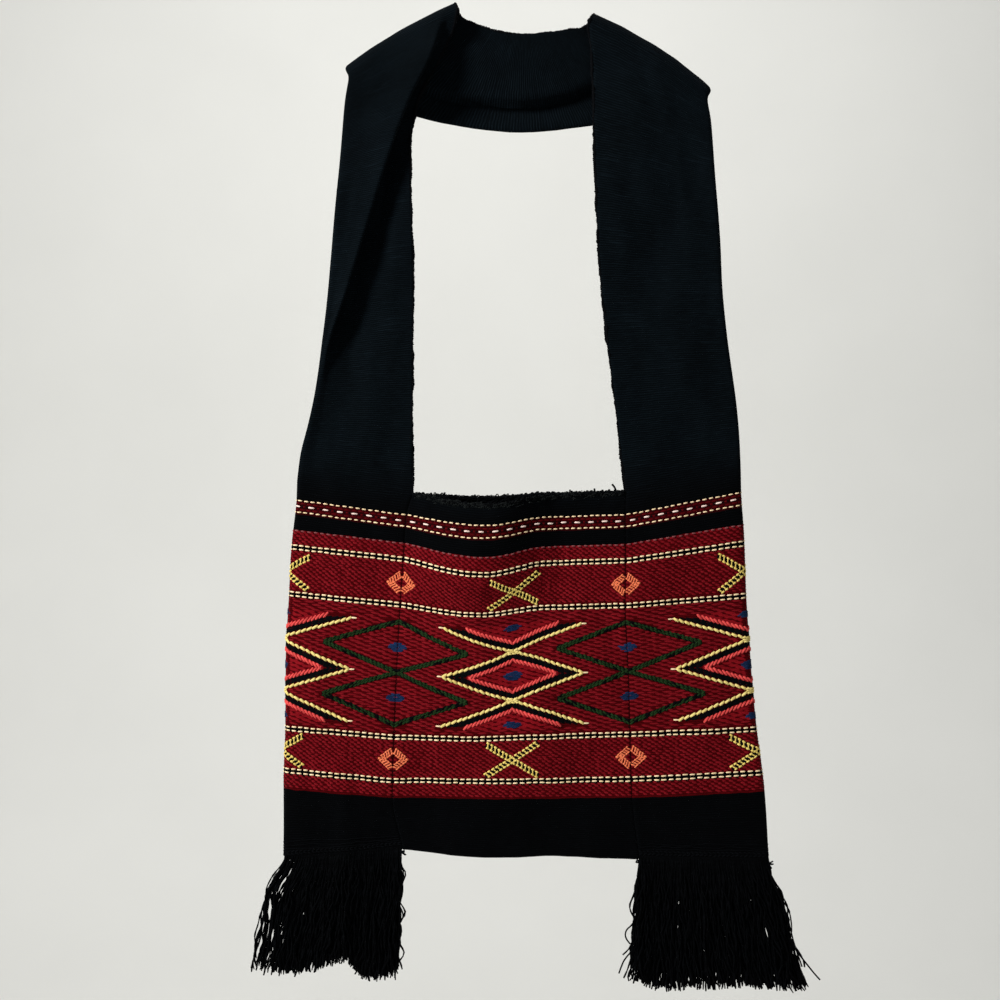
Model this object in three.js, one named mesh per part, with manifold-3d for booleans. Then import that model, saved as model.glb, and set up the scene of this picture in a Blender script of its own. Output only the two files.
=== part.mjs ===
// A woven shoulder bag as it hangs by its strap. One folded panel makes the front, the bottom and the
// back. One long woven band, folded lengthwise, makes both sides of the bag and the strap between
// them, and the ends of the band hang below the bag as two fringes. Panel and band are divided into
// simple walls that meet face to face.
// Millimetres, +Z up, -Y towards the front. The origin lies midway between the two slanting lines
// over which the strap bears.
import * as THREE from "three";
import { mergeVertices } from "three/addons/utils/BufferGeometryUtils.js";
import Module from "manifold-3d";

const wasm = await Module();
wasm.setup();

// Driving dimensions
const CLOTH = 1.6; // thickness of the woven cloth
const SEAM_GAP = 0.4; // between the panel's edge and the band's edge
const BEARING_RADIUS = 9; // from a bearing line to the middle of the doubled strap
const STRAP_HALF_GAP = 2.2; // from the middle of the doubled strap to each of its layers
const PLEAT_STEP = 2.4; // from layer to layer in the strap's diagonal pleat
const FULL_PLEAT = 6; // overlap from which the pleat's layers lie fully on each other
const DENT_SHARE = 0.17; // half width of a dent, as a share of the strap's width
const BOTTOM_FOLD_RADIUS = 3; // of the fold that closes the panel's bottom
const BACK_SHARE = 0.35; // how far the back panel gapes and droops, as a share of the front
const GAPE_PEAK = 0.36; // where the front panel gapes most, as a share of its width from the left
const GAPE_FALL = 0.36; // share of the width over which the gape then dies away
const HEAD_HEIGHT = 7; // of the bound edge that a fringe hangs from
const HEAD_THICKNESS = 7.6;
const HEAD_CLEARANCE = 1; // from a fringe's head to the panel's edge
const REST_GAP = 0.3; // between a fringe's head and the band's end
const LOCKS = 14; // locks of yarn in a fringe
const LOCK_THICKNESS = 8;
const LOCK_STAGGER = 1.5; // every second lock stands this far forward, the others as far back
const LOCK_FLARE = 0.95; // power by which a lock swings out from its root to its tip
const LOCK_SHARES = { root: 1.06, tip: 0.9 }; // a lock's width as a share of its pitch

// Steps in which the surfaces are sampled
const STEPS_PER_ROW = 2;
const STEPS_ROUND_BEARING = 5;
const STEPS_ROUND_BOTTOM = 4;
const PANEL_COLUMNS = 12;
const OUTER_FOLD_COLUMN = 12; // the point of the band's section that lies on its outer fold
const LOCK_RINGS = 4;
const LOCK_SIDES = 6;

function table(names, rows) {
  const keys = names.split(" ");
  return rows.map((row) => Object.fromEntries(keys.map((key, i) => [key, row[i]])));
}

// The bag, a row for each woven line from the band's lower end up to the mouth. The outer folds and
// the seams are places in the front view. depth is half the bag's depth at the seams, bulge what the
// panel stands out beyond it, and gape and droop what the mouth's slack adds to the front panel.
const BAG = table(
  "leftOuterX leftOuterZ leftSeamX leftSeamZ rightSeamX rightSeamZ rightOuterX rightOuterZ " +
    "depth bulge gape droop",
  [
    [-189.6, -653.6, -94.4, -645.6, 95.2, -652.8, 200.0, -655.2, 3.0, 0, 0, 4.0], // lower end
    [-189.6, -598.4, -101.9, -605.0, 89.3, -605.0, 196.3, -600.8, 8.0, 4, 0, 0.0], // foot of the red field
    [-188.0, -550.4, -100.4, -556.6, 87.6, -554.4, 190.1, -551.6, 11.0, 6, 1, 1.5], // lower border
    [-188.0, -497.6, -98.0, -503.2, 86.0, -502.4, 185.2, -497.6, 12.0, 6, 4, 4.0], // middle of the diamonds
    [-185.2, -442.9, -95.2, -451.4, 83.6, -452.0, 181.8, -444.6, 11.0, 5, 9, 6.8], // upper border
    [-183.4, -405.6, -92.8, -415.2, 84.0, -416.4, 180.5, -402.6, 9.0, 3, 22, 10.8], // top border
    [-179.4, -368.2, -90.4, -380.2, 84.0, -380.0, 177.7, -362.0, 7.0, 2, 25, 8.0], // dashed stripe
    [-178.8, -352.8, -85.6, -363.2, 84.8, -361.6, 177.4, -346.4, 6.0, 2, 22, 9.6], // mouth
  ],
);

// The strap above the mouth, a row for each line across it. inner and outer are its two edges in the
// front view, turn the angle round the bearing line (0 in front, 180 behind), crease and dentAt shares
// of the width from the inner edge, overlap how far the pleat at the crease laps, dent how far the
// strap is pressed in, and bow how far it arches over its bearing line.
const STRAP_COLUMNS = "innerX innerZ outerX outerZ turn crease overlap dentAt dent bow";
const LEFT_STRAP = table(STRAP_COLUMNS, [
  [-86.0, -340.0, -176.8, -332.0, 0, 0.93, 0, 0.9, -3, 0],
  [-86.4, -313.6, -171.2, -310.4, 0, 0.93, 0, 0.84, -5, 0],
  [-86.8, -284.0, -165.2, -284.0, 0, 0.93, 0, 0.78, -6, 0],
  [-86.4, -256.0, -161.2, -260.0, 0, 0.93, 1, 0.72, -6, 0],
  [-86.0, -228.0, -158.4, -236.0, 0, 0.92, 4, 0.66, -5, 0],
  [-85.6, -197.6, -154.4, -201.6, 0, 0.86, 12, 0.6, -4, 0],
  [-86.8, -160.0, -150.8, -164.0, 0, 0.75, 15.5, 0.5, -3, 0],
  [-88.0, -120.0, -147.6, -126.4, 0, 0.6, 17.5, 0.4, -3, 0],
  [-88.8, -84.0, -144.4, -94.4, 0, 0.42, 18, 0.3, -2, 0],
  [-84.0, -49.6, -142.0, -66.4, 0, 0.22, 14, 0.2, 0, 0],
  [-66.4, -14.4, -140.0, -44.0, 0, 0.12, 7, 0.2, 0, 1],
  [-47.8, 23.9, -136.6, -27.3, 0, 0.12, 0, 0.2, 0, 3],
]);
const RIGHT_STRAP = table(STRAP_COLUMNS, [
  [81.6, -332.0, 176.4, -320.0, 0, 0.93, 0, 0.5, 0, 0],
  [77.6, -297.6, 173.6, -288.0, 0, 0.93, 0, 0.5, 0, 0],
  [72.8, -260.0, 169.2, -256.0, 0, 0.93, 0, 0.6, 1, 0],
  [68.4, -224.0, 164.8, -222.4, 0, 0.93, 0, 0.7, 1, 0],
  [64.8, -190.4, 162.0, -192.0, 0, 0.93, 0, 0.75, 0, 0],
  [62.4, -156.0, 161.2, -164.0, 0, 0.93, 0, 0.75, -1, 0],
  [60.8, -120.0, 159.2, -136.0, 0, 0.93, 0, 0.72, -2, 0],
  [60.0, -85.6, 156.8, -108.0, 0, 0.93, 0, 0.68, -3, 0],
  [59.2, -52.0, 155.2, -84.0, 0, 0.93, 0, 0.62, -4, 0],
  [58.4, -17.6, 153.6, -62.4, 0, 0.93, 0, 0.5, -4, 2],
  [54.1, 15.9, 149.7, -45.2, 0, 0.93, 0, 0.4, -2, 5],
]);
const NECK = table(STRAP_COLUMNS, [
  [-47.8, 23.9, -136.6, -27.3, 180, 0.12, 0, 0.7, 0, 3],
  [-33.6, 18.4, -102.4, -50.4, 180, 0.4, 0, 0.7, 4, 0],
  [-17.6, 12.8, -56.0, -61.6, 180, 0.5, 0, 0.7, 7, 0],
  [1.6, 10.4, 1.6, -68.8, 180, 0.6, 0, 0.68, 8, 0],
  [24.0, 12.0, 57.6, -62.4, 180, 0.7, 0, 0.66, 6, 0],
  [40.0, 14.4, 104.0, -56.8, 180, 0.8, 0, 0.66, 3, 0],
  [54.1, 15.9, 149.7, -45.2, 180, 0.93, 0, 0.6, 0, 5],
]);

// Where the fringes' tips lie, a row for each place along a fringe from its outer end to its inner.
const FRINGE_COLUMNS = "tipX tipZ";
const LEFT_TIPS = table(FRINGE_COLUMNS, [
  [-216.5, -741.0],
  [-189.0, -746.0],
  [-165.0, -742.0],
  [-140.0, -735.0],
  [-119.0, -751.0],
  [-100.0, -749.0],
]);
const RIGHT_TIPS = table(FRINGE_COLUMNS, [
  [232.0, -760.0],
  [197.0, -757.0],
  [169.0, -755.0],
  [142.0, -757.0],
  [114.0, -757.0],
  [87.0, -749.0],
]);

const FORWARD = new THREE.Vector3(0, -1, 0);
const BACKWARD = new THREE.Vector3(0, 1, 0);
const { lerp } = THREE.MathUtils;

// The value of a table's column at a place between its rows, smooth and never past the rows' own values
function columnAt(rows, key, place) {
  const last = rows.length - 1;
  const from = Math.min(Math.floor(place), last - 1);
  const value = (i) => rows[Math.min(Math.max(i, 0), last)][key];
  const slope = (i) => {
    const before = value(i) - value(i - 1);
    const after = value(i + 1) - value(i);
    if (i === 0) return after;
    if (i === last) return before;
    return before * after <= 0 ? 0 : (2 * before * after) / (before + after);
  };
  const u = place - from;
  const rise = value(from + 1) - value(from);
  const bend = slope(from) + slope(from + 1) - 2 * rise;
  return value(from) + u * (slope(from) + u * (3 * rise - 2 * slope(from) - slope(from + 1) + u * bend));
}

function rowAt(rows, place) {
  return Object.fromEntries(Object.keys(rows[0]).map((key) => [key, columnAt(rows, key, place)]));
}

function placesAlong(rowCount, stepsPerRow) {
  const steps = (rowCount - 1) * stepsPerRow;
  return Array.from({ length: steps + 1 }, (_, i) => i / stepsPerRow);
}

// A cloth: a grid of points on its middle and their unit normals, which point to the side where along
// times across points. Each row's own pair of normals stands at its two ends, so that two cloths sewn
// edge to edge end in parallel faces.
function clothOver(grid, endNormals) {
  const rows = grid.length - 1;
  const columns = grid[0].length - 1;
  const normals = grid.map((points, i) =>
    points.map((_, j) => {
      if (j === 0) return endNormals[i][0];
      if (j === columns) return endNormals[i][1];
      const along = grid[Math.min(i + 1, rows)][j].clone().sub(grid[Math.max(i - 1, 0)][j]);
      const across = points[j + 1].clone().sub(points[j - 1]);
      return along.cross(across).normalize();
    }),
  );
  return { grid, normals };
}

// A closed wall of the cloth between two of its rows and two of its columns. Walls that share a row or
// a column meet there face to face, with the same triangles in both faces.
function clothWall({ grid, normals }, [firstRow, lastRow], [firstColumn, lastColumn]) {
  const rows = lastRow - firstRow + 1;
  const columns = lastColumn - firstColumn + 1;
  const positions = [];
  for (const side of [1, -1]) {
    for (let i = firstRow; i <= lastRow; i += 1) {
      for (let j = firstColumn; j <= lastColumn; j += 1) {
        positions.push(...grid[i][j].clone().addScaledVector(normals[i][j], (side * CLOTH) / 2));
      }
    }
  }
  const outer = (i, j) => i * columns + j;
  const inner = (i, j) => rows * columns + outer(i, j);
  const triangles = [];
  const quad = (a, b, c, d) => triangles.push(a, b, c, a, c, d);
  for (let i = 0; i < rows - 1; i += 1) {
    for (let j = 0; j < columns - 1; j += 1) {
      quad(outer(i, j), outer(i + 1, j), outer(i + 1, j + 1), outer(i, j + 1));
      quad(inner(i, j), inner(i, j + 1), inner(i + 1, j + 1), inner(i + 1, j));
    }
    quad(outer(i, 0), inner(i, 0), inner(i + 1, 0), outer(i + 1, 0));
    const end = columns - 1;
    quad(outer(i, end), outer(i + 1, end), inner(i + 1, end), inner(i, end));
  }
  for (let j = 0; j < columns - 1; j += 1) {
    quad(outer(0, j), outer(0, j + 1), inner(0, j + 1), inner(0, j));
    const top = rows - 1;
    quad(outer(top, j), inner(top, j), inner(top, j + 1), outer(top, j + 1));
  }
  return new THREE.BufferGeometry()
    .setAttribute("position", new THREE.Float32BufferAttribute(positions, 3))
    .setIndex(triangles);
}

// How much of the mouth's slack shows at a share of the panel's width
function slackAt(share) {
  if (share < GAPE_PEAK) return Math.sin(((Math.PI / 2) * share) / GAPE_PEAK) ** 1.2;
  const fall = Math.min(1, (share - GAPE_PEAK) / GAPE_FALL);
  return Math.max(0, Math.cos((Math.PI / 2) * fall)) ** 1.5;
}

// A point of the panel, at a row of the bag and a share of the panel's width, on its front or its back
function panelPoint(row, share, face) {
  const slack = slackAt(share) * (face === FORWARD ? 1 : BACK_SHARE);
  const reach = row.depth + row.bulge * Math.sin(Math.PI * share) + row.gape * slack;
  return new THREE.Vector3(
    lerp(row.leftSeamX + SEAM_GAP / 2, row.rightSeamX - SEAM_GAP / 2, share),
    face.y * reach - BEARING_RADIUS,
    lerp(row.leftSeamZ, row.rightSeamZ, share) - row.droop * slack,
  );
}

// The cloth of the front, the bottom fold and the back, from the front lip to the back lip
function panelCloth() {
  const shares = Array.from({ length: PANEL_COLUMNS + 1 }, (_, j) => j / PANEL_COLUMNS);
  const upwards = placesAlong(BAG.length, STEPS_PER_ROW).map((place) => rowAt(BAG, place));
  const grid = [];
  const endNormals = [];
  const addRow = (points, normal) => {
    grid.push(points);
    endNormals.push([normal, normal]);
  };
  for (const row of [...upwards].reverse()) {
    addRow(shares.map((share) => panelPoint(row, share, FORWARD)), FORWARD);
  }
  for (let i = 1; i < STEPS_ROUND_BOTTOM; i += 1) {
    const turn = (Math.PI * i) / STEPS_ROUND_BOTTOM;
    const out = new THREE.Vector3(0, -Math.cos(turn), -Math.sin(turn));
    const points = shares.map((share) => {
      const front = panelPoint(BAG[0], share, FORWARD);
      const back = panelPoint(BAG[0], share, BACKWARD);
      const height = lerp(front.z, back.z, i / STEPS_ROUND_BOTTOM);
      return new THREE.Vector3(front.x, -BEARING_RADIUS, height).addScaledVector(out, BOTTOM_FOLD_RADIUS);
    });
    addRow(points, out);
  }
  for (const row of upwards) {
    addRow(shares.map((share) => panelPoint(row, share, BACKWARD)), BACKWARD);
  }
  return { ...clothOver(grid, endNormals), foldRow: upwards.length - 1 };
}

// The points across the band, from the front layer's inner edge round the outer fold to the back
// layer's inner edge. Each is a share of the way from the inner to the outer edge and a height above
// the band's middle. The front layer may be pleated into a Z at its crease.
function bandSection({ depth, crease, overlap, dentAt, dent }, width) {
  const pleated = Math.min(1, overlap / FULL_PLEAT);
  const hollow = (share) => lerp(STRAP_HALF_GAP, depth, Math.sqrt(1 - share * share));
  const layer = (steps) => (share) => lerp(hollow(share), steps * PLEAT_STEP, pleated);
  const [over, between, under] = [layer(1.5), layer(0.5), layer(-0.5)];
  const back = (share) => -over(share);
  const lap = overlap / 2 / width;
  const spread = 0.02 * (1 - pleated);
  const valley = crease + lap - 2 * spread;
  const fold = crease - lap + 2 * spread;
  const corner = 1 - STRAP_HALF_GAP / width;
  const points = [];
  const add = (share, height) => {
    const pressed = dent * Math.exp(-(((share - dentAt) / DENT_SHARE) ** 2));
    points.push({ share, height: height + pressed });
  };
  for (const part of [0, 0.25, 0.5, 0.75, 1]) add(valley * part, under(valley * part));
  for (const share of [valley + spread, crease, fold - spread]) add(share, between(share));
  for (const part of [0, 0.35, 0.7]) add(lerp(fold, corner, part), over(lerp(fold, corner, part)));
  add(corner, 0.85 * over(corner));
  add(1, 0);
  add(corner, 0.85 * back(corner));
  for (const part of [0.75, 0.5, 0.25, 0]) add(corner * part, back(corner * part));
  return points;
}

// A line across the band: its points and the direction in which its front layer faces
function bandLine(row) {
  const inner = new THREE.Vector3(row.innerX, 0, row.innerZ);
  const outer = new THREE.Vector3(row.outerX, 0, row.outerZ);
  const across = outer.clone().sub(inner);
  const width = across.length();
  const above = new THREE.Vector3(Math.abs(across.z), 0, Math.abs(across.x)).divideScalar(width);
  above.x *= Math.sign(across.x);
  const turn = THREE.MathUtils.degToRad(row.turn);
  const facing = above.clone().multiplyScalar(Math.sin(turn)).addScaledVector(FORWARD, Math.cos(turn));
  const arch = (share) => 4 * row.bow * share * (1 - share);
  const middle = (share) =>
    inner
      .clone()
      .lerp(outer, share)
      .addScaledVector(above, arch(share))
      .addScaledVector(facing, BEARING_RADIUS);
  const points = bandSection(row, width).map(({ share, height }) =>
    middle(share).addScaledVector(facing, height),
  );
  return { points, facing };
}

// The rows of one side, from the band's lower end up to the bearing line
function sideRows(side, strap) {
  const outward = side === "left" ? -1 : 1;
  const gusset = placesAlong(BAG.length, STEPS_PER_ROW).map((place) => {
    const row = rowAt(BAG, place);
    return {
      ...strap[0],
      innerX: row[`${side}SeamX`] + (outward * SEAM_GAP) / 2,
      innerZ: row[`${side}SeamZ`],
      outerX: row[`${side}OuterX`],
      outerZ: row[`${side}OuterZ`],
      dent: 0,
      depth: row.depth,
    };
  });
  const rows = [gusset.at(-1), ...strap.map((row) => ({ ...row, depth: STRAP_HALF_GAP }))];
  const upper = placesAlong(rows.length, STEPS_PER_ROW).map((place) => rowAt(rows, place));
  return [...gusset, ...upper.slice(1)];
}

// The rows in which the strap turns over a bearing line, between its front and its back row
function bearingRows(front, behind) {
  return Array.from({ length: STEPS_ROUND_BEARING - 1 }, (_, i) =>
    rowAt([{ ...front }, { ...behind }], (i + 1) / STEPS_ROUND_BEARING),
  );
}

// The cloth of both sides of the bag and of the strap, from the left lower end to the right lower end,
// and the rows at which it passes from one part of the bag to the next
function bandCloth() {
  const left = sideRows("left", LEFT_STRAP);
  const right = sideRows("right", RIGHT_STRAP);
  const neckRows = NECK.map((row) => ({ ...row, depth: STRAP_HALF_GAP }));
  const neck = placesAlong(neckRows.length, STEPS_PER_ROW).map((place) => rowAt(neckRows, place));
  const lines = [
    ...left,
    ...bearingRows(left.at(-1), neck[0]),
    ...neck,
    ...bearingRows(right.at(-1), neck.at(-1)).reverse(),
    ...right.toReversed(),
  ].map(bandLine);
  const cloth = clothOver(
    lines.map(({ points }) => points),
    lines.map(({ facing }) => [facing, facing.clone().negate()]),
  );
  const mouth = (BAG.length - 1) * STEPS_PER_ROW;
  const leftTop = left.length - 1;
  const neckStart = leftTop + STEPS_ROUND_BEARING;
  const neckEnd = neckStart + neck.length - 1;
  const rightTop = neckEnd + STEPS_ROUND_BEARING;
  const end = lines.length - 1;
  const rows = {
    leftSide: [0, mouth],
    leftStrap: [mouth, leftTop],
    leftTurn: [leftTop, neckStart],
    neck: [neckStart, neckEnd],
    rightTurn: [neckEnd, rightTop],
    rightStrap: [rightTop, end - mouth],
    rightSide: [end - mouth, end],
  };
  return { ...cloth, rows };
}

function asSolid(geometry) {
  const bare = geometry.clone();
  bare.deleteAttribute("normal");
  bare.deleteAttribute("uv");
  const merged = mergeVertices(bare, 1e-4);
  return new wasm.Manifold(
    new wasm.Mesh({
      numProp: 3,
      vertProperties: new Float32Array(merged.attributes.position.array),
      triVerts: new Uint32Array(merged.index.array),
    }),
  );
}

function asGeometry(solid) {
  const mesh = solid.getMesh();
  return new THREE.BufferGeometry()
    .setAttribute("position", new THREE.BufferAttribute(mesh.vertProperties, 3))
    .setIndex(new THREE.BufferAttribute(mesh.triVerts, 1));
}

// A solid through rings of points, each running clockwise as seen from the first ring towards the last
function loft(rings) {
  const sides = rings[0].length;
  const triangles = [];
  for (let i = 0; i < rings.length - 1; i += 1) {
    for (let j = 0; j < sides; j += 1) {
      const next = (j + 1) % sides;
      const [a, b] = [i * sides + j, i * sides + next];
      triangles.push(a, b, b + sides, a, b + sides, a + sides);
    }
  }
  const end = (rings.length - 1) * sides;
  for (let j = 1; j < sides - 1; j += 1) {
    triangles.push(0, j + 1, j, end, end + j, end + j + 1);
  }
  return new THREE.BufferGeometry()
    .setAttribute("position", new THREE.Float32BufferAttribute(rings.flat().flatMap((p) => p.toArray()), 3))
    .setIndex(triangles);
}

// A level ring of yarn round a centre
function yarnRing(centre, width, thickness) {
  return Array.from({ length: LOCK_SIDES }, (_, i) => {
    const angle = (-2 * Math.PI * (i + 0.5)) / LOCK_SIDES;
    return new THREE.Vector3(Math.cos(angle) * (width / 2), Math.sin(angle) * (thickness / 2), 0).add(centre);
  });
}

// A fringe: a bound head under the band's end, and locks of yarn that flare out below it
function fringe(side, tips) {
  const outward = side === "left" ? -1 : 1;
  const edge = BAG[0];
  const outer = new THREE.Vector3(edge[`${side}OuterX`], -BEARING_RADIUS, edge[`${side}OuterZ`] - REST_GAP);
  const inner = new THREE.Vector3(
    edge[`${side}SeamX`] + outward * HEAD_CLEARANCE,
    -BEARING_RADIUS,
    edge[`${side}SeamZ`] - REST_GAP,
  );
  const [start, end] = outward < 0 ? [outer, inner] : [inner, outer];
  const headRing = (corner) =>
    [
      [1, 0],
      [-1, 0],
      [-1, -1],
      [1, -1],
    ].map(([y, z]) =>
      corner.clone().add(new THREE.Vector3(0, (y * HEAD_THICKNESS) / 2, z * HEAD_HEIGHT)),
    );
  let solid = asSolid(loft([headRing(start), headRing(end)]));
  const topPitch = outer.distanceTo(inner) / LOCKS;
  const tipPitch = Math.abs(tips[0].tipX - tips.at(-1).tipX) / LOCKS;
  for (let i = 0; i < LOCKS; i += 1) {
    const share = (i + 0.5) / LOCKS;
    const stagger = i % 2 ? LOCK_STAGGER : -LOCK_STAGGER;
    const root = outer.clone().lerp(inner, share);
    root.z -= HEAD_HEIGHT / 2;
    const tip = rowAt(tips, share * (tips.length - 1));
    const rings = Array.from({ length: LOCK_RINGS + 1 }, (_, k) => {
      const down = k / LOCK_RINGS;
      const centre = new THREE.Vector3(
        lerp(root.x, tip.tipX, down ** LOCK_FLARE),
        root.y + stagger * down,
        lerp(root.z, tip.tipZ, down),
      );
      const width = lerp(topPitch * LOCK_SHARES.root, tipPitch * LOCK_SHARES.tip, down);
      return yarnRing(centre, width, LOCK_THICKNESS);
    });
    solid = solid.add(asSolid(loft(rings)));
  }
  return asGeometry(solid);
}

const clothFinish = { roughness: 0.9, metalness: 0 };
const blackCloth = new THREE.MeshStandardMaterial({ color: 0x0b0c10, ...clothFinish });
const redCloth = new THREE.MeshStandardMaterial({ color: 0x6b0a12, ...clothFinish });
const blackYarn = new THREE.MeshStandardMaterial({ color: 0x08090b, ...clothFinish });

function piece(name, geometry, material) {
  const mesh = new THREE.Mesh(geometry, material);
  mesh.name = name;
  return mesh;
}

const panel = panelCloth();
const acrossPanel = [0, PANEL_COLUMNS];
const panelEnd = panel.grid.length - 1;
const band = bandCloth();
const acrossBand = [0, band.grid[0].length - 1];
const frontLayer = [0, OUTER_FOLD_COLUMN];
const backLayer = [OUTER_FOLD_COLUMN, acrossBand[1]];
const { leftSide, leftStrap, leftTurn, neck, rightTurn, rightStrap, rightSide } = band.rows;

const bag = new THREE.Group();
bag.add(
  piece("front_panel", clothWall(panel, [0, panel.foldRow], acrossPanel), redCloth),
  piece("back_panel", clothWall(panel, [panel.foldRow, panelEnd], acrossPanel), redCloth),
  piece("left_side_front", clothWall(band, leftSide, frontLayer), redCloth),
  piece("left_side_back", clothWall(band, leftSide, backLayer), redCloth),
  piece("right_side_front", clothWall(band, rightSide, frontLayer), redCloth),
  piece("right_side_back", clothWall(band, rightSide, backLayer), redCloth),
  piece("left_strap", clothWall(band, leftStrap, acrossBand), blackCloth),
  piece("left_turn", clothWall(band, leftTurn, acrossBand), blackCloth),
  piece("neck_strap", clothWall(band, neck, acrossBand), blackCloth),
  piece("right_turn", clothWall(band, rightTurn, acrossBand), blackCloth),
  piece("right_strap", clothWall(band, rightStrap, acrossBand), blackCloth),
  piece("left_fringe", fringe("left", LEFT_TIPS), blackYarn),
  piece("right_fringe", fringe("right", RIGHT_TIPS), blackYarn),
);

export default bag;
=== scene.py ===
"""The looks of the woven shoulder bag: cloth, woven figures, seams and fringes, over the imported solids."""

import math

import bpy
import numpy as np
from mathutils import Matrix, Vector


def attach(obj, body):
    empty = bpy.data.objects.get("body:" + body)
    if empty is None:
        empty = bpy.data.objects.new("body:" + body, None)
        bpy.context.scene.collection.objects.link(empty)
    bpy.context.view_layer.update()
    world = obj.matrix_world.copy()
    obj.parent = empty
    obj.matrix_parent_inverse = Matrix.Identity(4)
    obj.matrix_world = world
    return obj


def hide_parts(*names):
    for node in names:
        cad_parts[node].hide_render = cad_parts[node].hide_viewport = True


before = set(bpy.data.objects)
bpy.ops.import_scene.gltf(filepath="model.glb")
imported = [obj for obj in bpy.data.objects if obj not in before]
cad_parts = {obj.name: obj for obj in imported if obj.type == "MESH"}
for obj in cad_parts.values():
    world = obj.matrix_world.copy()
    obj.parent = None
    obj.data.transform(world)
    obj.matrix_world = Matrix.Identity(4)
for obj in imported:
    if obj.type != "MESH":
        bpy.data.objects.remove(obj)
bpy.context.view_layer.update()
SCENE = bpy.context.scene

MM = 0.001
FULL_TURN = 6.28  # radians, for the phases of waves

# The cloth's sizes, in millimetres
STRIP = 189.0  # width of each woven strip
EDGE = STRIP / 2
CLOTH = 1.6  # thickness
SEAM_GAP = 0.4
BEARING_RADIUS = 9.0
STRAP_HALF_GAP = 2.2
PLEAT_STEP = 2.4
FULL_PLEAT = 6.0  # the overlap from which the pleat is fully formed
PLEAT_LIFT = 9.0  # how far the pleat's free edge stands up
PLEAT_SINK = 7.0  # how far the cloth beside it lies back
BOTTOM_FOLD_RADIUS = 3.0
COLUMN = STRIP / 36  # pitch of the woven floats across a strip
ROW = 1.86  # pitch of the weft rows in the figures
GROUND_ROW = 1.78  # and in the red ground

# Places and reaches, as shares of a strip's width
DENT_REACH = 0.17
SINK_REACH = 0.3
BEFORE_CREASE, PAST_RIDGE, PAST_LEDGE = 0.28, 0.16, 0.14
LEDGE_EDGE = 0.035
PLEAT_SPREAD = 0.02  # of the points at the pleat where it isn't formed
GAPE_PEAK = 0.36  # where the mouth gapes most
GAPE_FALL = 0.36
DROOP_FALL = 0.28
BACK_SHARE = 0.35  # how slack the back is, compared with the front

# How finely the surfaces are sampled
GUSSET_STEPS = 12
STRAP_STEPS = 6
BEARING_STEPS = 14
FOLD_STEPS = 10
PANEL_COLUMNS = 100
BAND_SPANS = (30, 28, 14, 10, 28)  # columns from the inner edge over the pleat and round the outer fold
SECTION_POINTS = 420
LOOKUP_COLUMNS = 190


def table(names, text, **same):
    """A table's columns by name, from its lines, and the columns that are the same in all of its rows."""
    rows = [line.split() for line in text.strip().splitlines()]
    found = {name: np.array(values, float) for name, values in zip(names.split(), zip(*rows))}
    return {**found, **{name: np.full(len(rows), float(value)) for name, value in same.items()}}


# The bag, a row for each woven line from the band's lower end up to the mouth. cloth is the distance
# down the cloth from the mouth.
BAG = table(
    "cloth left_outer_x left_outer_z left_seam_x left_seam_z right_seam_x right_seam_z right_outer_x "
    "right_outer_z depth bulge gape droop",
    """
    286 -189.6 -653.6 -94.4 -645.6 95.2 -652.8 200 -655.2 3 0 0 4
    239.5 -189.6 -598.4 -101.9 -605 89.3 -605 196.3 -600.8 8 4 0 0
    191 -188 -550.4 -100.4 -556.6 87.6 -554.4 190.1 -551.6 11 6 1 1.5
    138.4 -188 -497.6 -98 -503.2 86 -502.4 185.2 -497.6 12 6 4 4
    85.6 -185.2 -442.9 -95.2 -451.4 83.6 -452 181.8 -444.6 11 5 9 6.8
    49.5 -183.4 -405.6 -92.8 -415.2 84 -416.4 180.5 -402.6 9 3 22 10.8
    14.4 -179.4 -368.2 -90.4 -380.2 84 -380 177.7 -362 7 2 25 8
    0 -178.8 -352.8 -85.6 -363.2 84.8 -361.6 177.4 -346.4 6 2 22 9.6
    """,
)

# The strap above the mouth, a row for each line across it
LEFT_STRAP = table(
    "inner_x inner_z outer_x outer_z crease overlap dent_at dent bow",
    """
    -86 -340 -176.8 -332 0.93 0 0.9 -3 0
    -86.4 -313.6 -171.2 -310.4 0.93 0 0.84 -5 0
    -86.8 -284 -165.2 -284 0.93 0 0.78 -6 0
    -86.4 -256 -161.2 -260 0.93 1 0.72 -6 0
    -86 -228 -158.4 -236 0.92 4 0.66 -5 0
    -85.6 -197.6 -154.4 -201.6 0.86 12 0.6 -4 0
    -86.8 -160 -150.8 -164 0.75 15.5 0.5 -3 0
    -88 -120 -147.6 -126.4 0.6 17.5 0.4 -3 0
    -88.8 -84 -144.4 -94.4 0.42 18 0.3 -2 0
    -84 -49.6 -142 -66.4 0.22 14 0.2 0 0
    -66.4 -14.4 -140 -44 0.12 7 0.2 0 1
    -47.8 23.9 -136.6 -27.3 0.12 0 0.2 0 3
    """,
    turn=0,
    fold_at=0.5,
    fold=0,
)
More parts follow.
